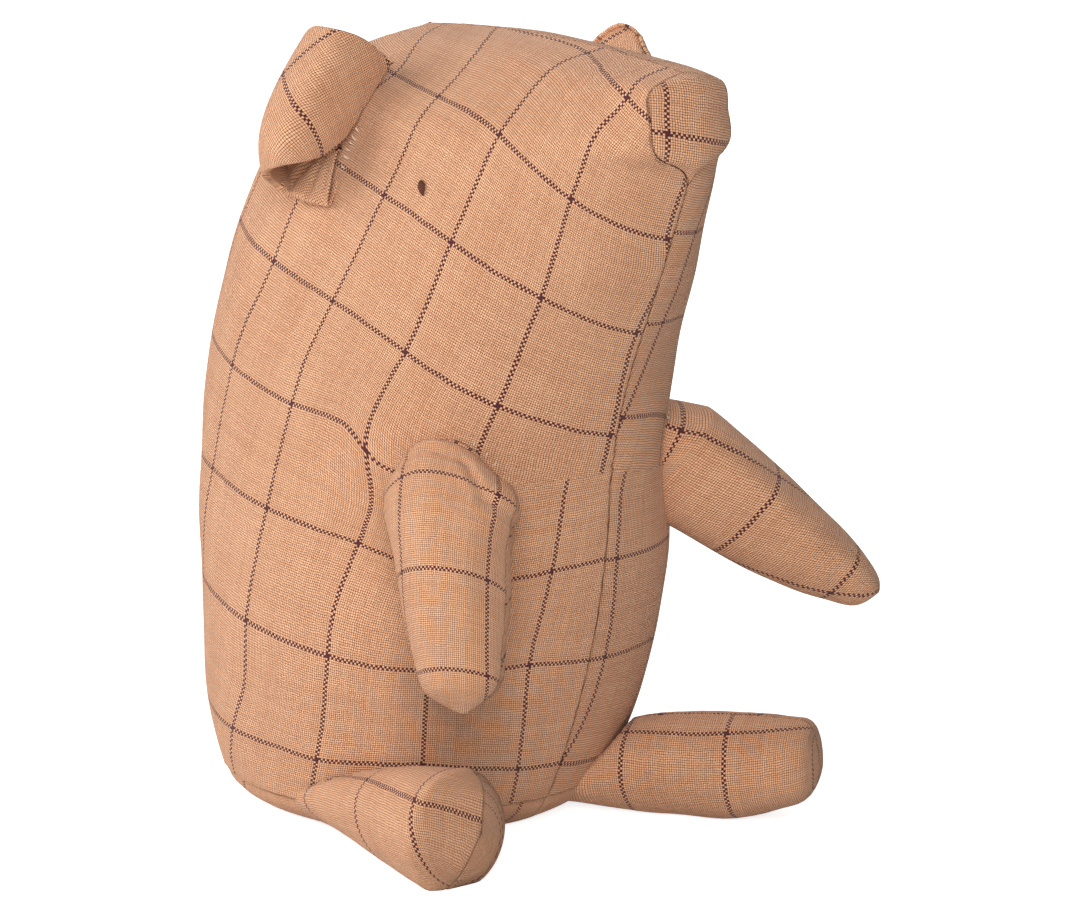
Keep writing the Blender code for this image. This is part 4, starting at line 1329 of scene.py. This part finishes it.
def ear_form(side, place, turn, tilt_angle, lean):
    """The middle surface of an ear, as a function of place and turn, and its way out."""
    seat = body_form(place, turn, side)
    facing = body_outward(place, turn, side)
    fore = np.cross([0.0, 0.0, 1.0], facing)
    fore *= side / np.linalg.norm(fore)
    tangent = np.cross(facing, fore)
    tangent *= 1 if tangent[2] > 0 else -1
    tilt = np.array(Matrix.Rotation(tilt_angle * side, 3, Vector(facing)))
    tangent, fore = tilt @ tangent, tilt @ fore
    rise = tangent * cos(lean) + facing * sin(lean)
    out = facing * cos(lean) - tangent * sin(lean)
    root = seat + facing * ear_standoff

    def points(place, turn):
        place, turn = spread(place, turn)
        along, width, cup = np.moveaxis(
            along_rows(ear_row_shares, place * (len(ear_row_shares) - 1)), -1, 0)
        across = 2 * turn - 1
        turned = (fore * np.cos(ear_twist * along)[..., None]
                  + out * np.sin(ear_twist * along)[..., None])
        cupped = ear_cup * cup * across ** 2 * np.minimum(place / ear_cup_start_share, 1.0)
        return (root + rise * (ear_length * along)[..., None]
                + turned * (np.maximum(width, 0) * ear_width / 2 * across)[..., None]
                + out * (cupped + ear_bend * along ** 2)[..., None])
    return points, out


def ear_layers(ear, surface, out, lengthwise, crosswise):
    """The two layers of an ear, sewn together round the edge."""
    places = evenly(surface, ear_rows)
    turns = spaced(surface, 0.0, 1.0, ear_girth_place, False)
    middle = surface(0.5, 0.5)
    weave_at = panel_weave(surface, places, turns, lengthwise, crosswise)
    for layer, way in (("front_layer", 1), ("back_layer", -1)):
        name = ear + "_" + layer

        def shifted(place, turn):
            points = surface(place, turn)
            share = 1 - (2 * turn - 1) ** 2 + 0 * points[..., 0]
            puff = seam_gap / 2 + cloth_thickness + ear_puff * share
            return points + way * out * puff[..., None]

        sheet = sewn_sheet(name, shifted, places, turns, middle - way * out * ear_inside,
                           weave_at, ("front", "back", "top"), 2.0 + way, bare=ear_bare_edge)
        dress(sheet, ear, linen, [name])
        as_sheet(sheet, shifted(places[:, None], turns[None, :]))


left_ear_surface, left_ear_out = ear_form(1, *left_ear_seat, left_ear_tilt, left_ear_lean)
ear_layers("left_ear", left_ear_surface, left_ear_out, *left_ear_marks)

# %% [markdown]
# The near ear goes out from its seam, folds back on itself and hangs over to the front. Its spots
# are places in the photo and how many millimetres nearer than the seam the cloth lies there. Its
# creases run between two places and turns of the ear.

# %% Near ear, folded
near_ear_lengthwise_marks = {0: [(334, 30), (320, 47), (303, 65)],
                             1: [(349, 122), (337, 137), (325, 151)]}
near_ear_crosswise_marks = {0: [(291, 75), (288, 95), (302, 122), (319, 153)],
                            1: [(371, 42), (390, 72)]}
near_ear_creases = [
    (0.10, 0.80, 0.45, 0.22, 0.0016, 0.0009, 0.0011, 0.0026),
    (0.09, 0.75, 0.31, 0.00, 0.0020, 0.0010, 0.0013, 0.0028),
    (0.07, 0.75, 0.17, 0.00, 0.0012, 0.0008, 0.0008, 0.0020),
    (0.045, 0.75, 0.045, 0.00, 0.0008, 0.0005, 0.0004, 0.0012),
]
lobe_end, lobe_fade, lobe_shift, lobe_front = 0.5, 0.14, (0.0197, 0.0135), 0.85
fold_puff, fold_seam_share, fold_fill, fold_fade = 0.00095, 0.6, 0.0005, 0.003
near_ear_spots = [
    [(329, 207, 0.5), (333, 188, 1.0), (337, 168, 0.8), (341, 150, 1.0)],
    [(308, 202, -2.0), (311, 180, -5.0), (316, 150, -6.0), (332, 112, -5.0)],
    [(284, 192, -4.0), (282, 165, -9.0), (288, 125, -9.0), (318, 70, -8.0)],
    [(266, 175, 3.5), (265, 135, 4.5), (279, 92, 4.0), (312, 31, 2.0)],
    [(279, 166, 9.5), (284, 138, 13.5), (303, 98, 13.0), (337, 30, 10.0)],
    [(303, 161, 11.0), (313, 135, 12.0), (332, 100, 11.0), (365, 40, 7.5)],
    [(323, 153, 6.0), (343, 137, 5.0), (366, 101, 4.0), (390, 62, 1.5)],
]


def photo_spot(x, y, nearer, level):
    """A point behind a place in the photo, some millimetres nearer than a level depth."""
    ray = np.array(photo_ray(x, y))
    return camera_place + ray * (level - nearer / 1000) / (ray @ -camera_back)


ear_level = (np.array(hinges["right_ear_flap"]["pos_m"]) - camera_place) @ -camera_back
near_ear_knots = np.array([[photo_spot(*spot, ear_level) for spot in row]
                           for row in near_ear_spots])


def near_ear_form(place, turn):
    """The near ear: out from its base seam, back on itself at a fold, and over to the front."""
    shares = [along_rows(np.eye(count), at * (count - 1))
              for at, count in zip(spread(place, turn), near_ear_knots.shape)]
    return np.einsum("...i,...j,ijk->...k", *shares, near_ear_knots)


def folded_layers(ear, surface, lengthwise, crosswise, creases):
    """The two layers of a folded ear; the back of the ear is what the front shows."""
    places = spaced(surface, 0.0, 1.0, 0.5, True, fine_step, 300)
    turns = spaced(surface, 0.0, 1.0, ear_girth_place, False, fine_step)
    points = surface(places[:, None], turns[None, :])
    facing = normals_of(points, 1)
    front = np.argmin(np.abs(places - lobe_front))
    facing *= 1 if facing[front].mean(0) @ camera_back > 0 else -1
    form = Form(surface, *(np.linspace(0, 1, count) for count in fold_grid))
    weave_at, _ = laid_weave(form, lengthwise, crosswise)
    cloth = weave_at(form.flat_at(places[:, None], turns[None, :]))
    cloth += eased((lobe_end - places) / lobe_fade)[:, None, None] * np.array(lobe_shift)
    towards = np.where(facing @ camera_back >= 0, 1.0, -1.0)
    relief = sum(groove(points, surface(*np.linspace(line[:2], line[2:4], crease_points).T),
                        *line[4:]) for line in creases)
    points = points + facing * (towards * relief)[..., None]
    rise, girth = lengths(points, 0), lengths(points, 1)
    seam = np.minimum(np.minimum(rise[-1:] - rise, girth), girth[:, -1:] - girth)
    for layer, way in (("back_layer", 1), ("front_layer", -1)):
        name = ear + "_" + layer
        puff = (fold_puff - fold_seam_share * rounded_edge(seam)
                + fold_fill * (1 - np.exp(-seam / fold_fade)))
        puff += puckers(seam, rise + girth, 3.0 + way)
        out = facing * way
        sign = 1 if np.sum(normals_of(points, 1)[front] * facing[front]) * way > 0 else -1
        sheet = cloth_piece(name, points + out * puff[..., None], out, sign, cloth,
                            seam + ear_bare_edge, ("top", "front", "back"))
        dress(sheet, ear, linen, [name])
        as_sheet(sheet, points)


folded_layers("right_ear", near_ear_form, near_ear_lengthwise_marks, near_ear_crosswise_marks,
              near_ear_creases)
print("ears laid")

# %% [markdown]
# Short whip stitches of pale thread hold the arms and ears, no two quite alike.

# %% Whip stitches
thread_sides, stitch_radius, stitch_length, stitch_rise = 8, 0.00017, 0.0015, 0.0006
stitch_back, stitch_slant, shoulder_stitches, ear_stitches = 0.0005, 0.00025, 9, 6
right_ear_stitch_marks = ((343, 166), (345, 156), (347, 149), (350, 142), (353, 135), (357, 128))


def tube_faces(rings, sides, first=0):
    """The faces of a closed tube of rings, with a cap at each end."""
    turns = [(j, (j + 1) % sides) for j in range(sides)]
    faces = [[low + j, low + k, low + sides + k, low + sides + j]
             for low in range(first, first + (rings - 1) * sides, sides) for j, k in turns]
    last = first + (rings - 1) * sides
    return faces + [list(range(first, first + sides))[::-1], list(range(last, last + sides))]


def thread_tubes(name, paths, radius):
    """Threads in one mesh: round tubes along their paths, closed at both ends."""
    points, faces = [], []
    angles = np.arange(thread_sides)[:, None] / thread_sides * tau
    for path in paths:
        ahead = unit(np.gradient(path, axis=0))
        one = unit(np.cross(ahead, [0.3, 0.5, 0.81]))
        other = np.cross(ahead, one)
        ends = np.minimum(np.arange(len(path)), np.arange(len(path))[::-1])
        girth = radius * np.where(ends == 0, 0.45, np.where(ends == 1, 0.9, 1.0))
        rings = path[:, None] + girth[:, None, None] * (
            one[:, None] * np.cos(angles) + other[:, None] * np.sin(angles))
        faces.extend(tube_faces(len(path), thread_sides, len(points)))
        points.extend(rings.reshape(-1, 3).tolist())
    mesh = new_mesh(name, points, faces)
    mesh.shade_smooth()
    return new_object(name + "_threads", mesh)


def stitch_path(form, start, end, height):
    """A short stitch over the cloth, with its ends in the cloth."""
    path = []
    for share in np.linspace(0, 1, 7):
        spot, facing, _, _ = form.tree.find_nearest(Vector(start + (end - start) * share))
        facing = np.array(facing)
        if facing @ (np.array(spot) - [0.0, 0.0, spot[2]]) < 0:
            facing = -facing
        path.append(np.array(spot) + facing * (height * sin(pi * share) - stitch_radius / 2))
    return np.array(path)


def whip_stitches(name, form, spots, ways, seed):
    """Short stitches from a seam onto the cloth beside it, no two quite alike."""
    rng = np.random.default_rng(seed)
    paths = []
    for spot, way in zip(spots, ways):
        slant = rng.normal(size=3) * stitch_slant
        long = stitch_length * rng.uniform(0.8, 1.2)
        paths.append(stitch_path(form, spot - way * stitch_back, spot + way * long + slant,
                                 stitch_rise))
    piece = thread_tubes(name, paths, stitch_radius)
    return dress(piece, "body", pale_thread, [name])


def shoulder_spots(limb):
    """Places along the top of an arm's seam, and the way from the arm to the body."""
    turns = np.linspace(0.1, 0.9, shoulder_stitches)
    spots = limb.surface(0.0)(0.0, turns)
    return spots, unit(-limb.heading * 0.8 + limb.axis * np.cos(pi * turns)[:, None] * 0.6)


whip_stitches("right_shoulder_stitching", forms[-1], *shoulder_spots(limbs["right_arm"]), 5)
whip_stitches("left_shoulder_stitching", forms[1], *shoulder_spots(limbs["left_arm"]), 6)
right_ear_spots = np.array([forms[-1].point(x, y) for x, y in right_ear_stitch_marks])
whip_stitches("right_ear_stitching", forms[-1], right_ear_spots,
              [camera_right * 0.8 - camera_up * 0.5] * ear_stitches, 7)
left_ear_spots = left_ear_surface(0.0, np.linspace(0.12, 0.88, ear_stitches))
whip_stitches("left_ear_stitching", forms[1], left_ear_spots, [left_ear_out] * ear_stitches, 8)
print("whip stitches:", 2 * shoulder_stitches + 2 * ear_stitches)

# %% [markdown]
# An eye is a few satin stitches side by side.

# %% Eyes
eye_row, eye_turn, eye_lean, eye_narrowing = 7.66, 0.384, radians(9), 0.45
eye_lift, eye_side_rise, eye_middle_rise, thread_points = 0.0001, 0.0002, 0.0003, 9
eye_half_width, eye_half_length, eye_thread_radius, eye_threads = 0.00095, 0.0018, 0.00021, 8


def eye(name, side):
    """An eye: satin stitches side by side, that draw together at the lower end."""
    seat = body_form(eye_row, eye_turn, side)
    facing = body_outward(eye_row, eye_turn, side)
    up = camera_up * cos(eye_lean) - camera_right * sin(eye_lean)
    up = up * np.array([-side, 1.0, 1.0])
    up -= facing * (up @ facing)
    up /= np.linalg.norm(up)
    across = np.cross(up, facing)
    share = np.linspace(0, 1, thread_points)[:, None]
    paths = []
    for x in np.linspace(-1, 1, eye_threads):
        reach = eye_half_length * (1 - eye_narrowing * x * x)
        sideways = eye_half_width * x * (1 - eye_narrowing * share)
        rise = eye_side_rise + eye_middle_rise * (1 - x * x)
        lift = eye_lift + rise * np.sin(pi * share) ** 0.6
        paths.append(seat + up * reach * (1 - 2 * share) + across * sideways + facing * lift)
    piece = thread_tubes(name, paths, eye_thread_radius)
    return dress(piece, "body", eye_thread, [name])


eye("right_eye", -1)
eye("left_eye", 1)
print("eye threads:", 2 * eye_threads)

# %% [markdown]
# The tail is a strip of linen rolled to a cord and curled.

# %% Tail
tail_radius, tail_tip_radius, tail_curl_radius, tail_stem = 0.0026, 0.0012, 0.0055, 0.006
tail_sidestep, tail_turn, tail_tightening_share, tail_row = 0.0064, radians(288), 0.35, 2.4
tail_round_end, tail_roll, tail_edge_depth, tail_edge_reach = 0.0014, 0.021, 0.14, 0.22
# tail_bare keeps the painted seam shade off the tail.
tail_knot_count, tail_rows, tail_cloth_start, tail_bare = 13, 110, 0.004, 0.004
tail_sides, tail_roll_step = 49, 0.05
tail_start = body_form(tail_row, 1.0, 1) - np.array([0.0, 5 * seam_gap, 0.0])
curl_middle = tail_start + np.array([0.0, tail_stem + 7 * seam_gap, tail_curl_radius])
tail_knots = [tail_start]
for share in np.linspace(0, 1, tail_knot_count):
    angle = share * tail_turn - pi / 2
    radius = tail_curl_radius * (1 - tail_tightening_share * share)
    tail_knots.append(curl_middle + np.array([tail_sidestep * share, cos(angle) * radius,
                                              sin(angle) * radius]))
tail_path = along_rows(np.array(tail_knots), np.linspace(0, tail_knot_count, tail_rows))
tail_ahead = unit(np.gradient(tail_path, axis=0))
tail_side = unit(np.array([1.0, 0.0, 0.0]) - tail_ahead * tail_ahead[:, :1])
tail_other = np.cross(tail_ahead, tail_side)
tail_angles = np.linspace(0, tau, tail_sides)
tail_run = lengths(tail_path[:, None], 0)[:, :1]
tail_girth = (tail_radius + (tail_tip_radius - tail_radius) * tail_run / tail_run[-1])
tail_girth *= np.sqrt(np.clip((tail_run[-1] - tail_run) / tail_round_end, 0.0, 1.0))
edge_turn = tau * tail_run / tail_roll
off_edge = np.angle(np.exp(1j * (tail_angles[None] - edge_turn)))
tail_girth = tail_girth * (1 - tail_edge_depth * np.exp(-(off_edge / tail_edge_reach) ** 2)
                           + tail_roll_step * off_edge / pi)
tail_facing = (tail_side[:, None] * np.cos(tail_angles)[:, None]
               + tail_other[:, None] * np.sin(tail_angles)[:, None])
tail_cloth = np.stack(np.broadcast_arrays(tail_angles[None] * tail_radius, tail_run), -1)
tail = cloth_piece("tail", tail_path[:, None] + tail_facing * tail_girth[..., None], tail_facing,
                   -1, tail_cloth + tail_cloth_start, np.full(tail_girth.shape, tail_bare))
dress(tail, "tail", linen, ["tail"])
print("tail", round(float(tail_run[-1, 0]) * 1000, 1), "mm long")

# %% [markdown]
# The fillings lie just under the cloth, so that nothing plain shows if a seam is opened.

# %% Fillings
core_voxel, core_inset, limb_core_inset, least_core = 0.0022, 0.0020, 0.0014, 0.3
core_swell, core_waves = 0.00015, (0.006, 0.02)
leg_core_ends, arm_core_ends, core_rings, core_sides = (0.04, 0.82), (0.03, 0.95), 48, 48


def finish_core(node, body, material, mesh):
    """Draw a core in from the cloth, and give it its finish."""
    count = len(mesh.vertices)
    points, facing = np.zeros(count * 3), np.zeros(count * 3)
    mesh.vertices.foreach_get("co", points)
    mesh.vertices.foreach_get("normal", facing)
    points, facing = points.reshape(-1, 3), facing.reshape(-1, 3)
    drawn = core_inset - unevenness(points, len(node), core_swell, *core_waves)
    mesh.vertices.foreach_set("co", (points - facing * drawn[:, None]).ravel())
    mesh.materials.clear()
    mesh.shade_smooth()
    return dress(new_object(node + "_core", mesh), body, material, [node])


def core(node, material):
    """A soft core with its solid's own form, a little smaller and uneven."""
    solid = frame["nodes"][node]
    lump = new_object(node + "_solid", new_mesh(
        node, [solid.matrix_world @ v.co for v in solid.data.vertices],
        [list(face.vertices) for face in solid.data.polygons]))
    remesh = lump.modifiers.new("even", "REMESH")
    remesh.mode = "VOXEL"
    remesh.voxel_size = core_voxel
    even = bpy.data.meshes.new_from_object(lump.evaluated_get(
        bpy.context.evaluated_depsgraph_get()))
    bpy.data.objects.remove(lump, do_unlink=True)
    return finish_core(node, "body", material, even)


def limb_core(limb, body):
    """The stuffing of a limb, just inside its panels."""
    places = np.linspace(*(leg_core_ends if limb.on_floor else arm_core_ends), core_rings)
    turns = np.arange(core_sides) / core_sides
    rings = limb.surface(0.0, tau)(places[:, None], turns[None, :])
    middle = rings.mean(1, keepdims=True)
    spokes = rings - middle
    long = np.linalg.norm(spokes, axis=-1, keepdims=True)
    rings = middle + spokes * np.maximum(1 - limb_core_inset / long, least_core)
    mesh = new_mesh(body, rings, tube_faces(len(places), len(turns)))
    mesh.update()
    if np.array(mesh.polygons[0].normal) @ (rings[0, 0] - middle[0, 0]) < 0:
        mesh.flip_normals()
    return finish_core(body + "_stuffing", body, fibre_filling, mesh)


core("body_stuffing", fibre_filling)
core("pellet_bag", bag_calico)
for body, limb in limbs.items():
    limb_core(limb, body)
print("fillings laid")

# %% [markdown]
# A white studio: the floor and the surroundings are white to the camera, and the floor still
# takes the pig's soft shadow. Two soft lamps stand on the left and over the camera, and a third
# lights the back of the head from above.

# %% Stage and light
floor_half, floor_paint, floor_glow, world_light = 6, (0.8, 0.8, 0.8, 1.0), 0.8, 0.05
lamp_aim = Vector((0.0, 0.0, 0.1))


def seen_directly(nodes):
    """Whether a ray comes from the camera, a mirror or glass."""
    path = nodes.add("LightPath").outputs
    return nodes.math("MAXIMUM", path["Is Camera Ray"], nodes.math(
        "MAXIMUM", path["Is Glossy Ray"], path["Is Transmission Ray"]))


floor_finish = bpy.data.materials.new("studio_floor")
floor_finish.use_nodes = True
floor_tree = floor_finish.node_tree
floor_tree.nodes.remove(floor_tree.nodes["Principled BSDF"])
floor_nodes = Nodes(floor_tree)
paint = floor_nodes.add("BsdfDiffuse", floor_paint).outputs[0]
glow = floor_nodes.add("Emission", sockets={"Strength": floor_glow}).outputs[0]
lit = floor_nodes.add("AddShader", paint, glow).outputs[0]
chosen = floor_nodes.add("MixShader", seen_directly(floor_nodes), paint, lit).outputs[0]
floor_nodes.feed(floor_tree.nodes["Material Output"].inputs[0], chosen)

corners = [(x * floor_half, y * floor_half, 0) for x, y in ((-1, -1), (1, -1), (1, 1), (-1, 1))]
floor_mesh = new_mesh("studio_floor", corners, [(0, 1, 2, 3)])
floor_mesh.materials.append(floor_finish)
floor = new_object("studio_floor", floor_mesh)

world = bpy.data.worlds.new("studio")
world.use_nodes = True
bpy.context.scene.world = world
world_nodes = Nodes(world.node_tree)
surround = world.node_tree.nodes["Background"]
surround.inputs["Color"].default_value = (1.0, 1.0, 1.0, 1.0)
world_nodes.feed(surround.inputs["Strength"],
                 world_nodes.mix(seen_directly(world_nodes), world_light, 1.0, "FLOAT"))

for name, right, back, up, size, power in (("key", -1.2, 0.3, 0.5, 0.7, 12.5),
                                           ("front", 0.0, 1.3, 0.3, 0.7, 12.5),
                                           ("behind", 0.0, -0.7, 1.1, 0.8, 7.0)):
    lamp_data = bpy.data.lights.new(name, "AREA")
    lamp_data.energy = power
    lamp_data.size = size
    place = camera_aim + camera_right * right + camera_back * back + camera_up * up
    new_object(name, lamp_data, place, lamp_aim - Vector(place))
bpy.context.scene.view_settings.view_transform = "Standard"
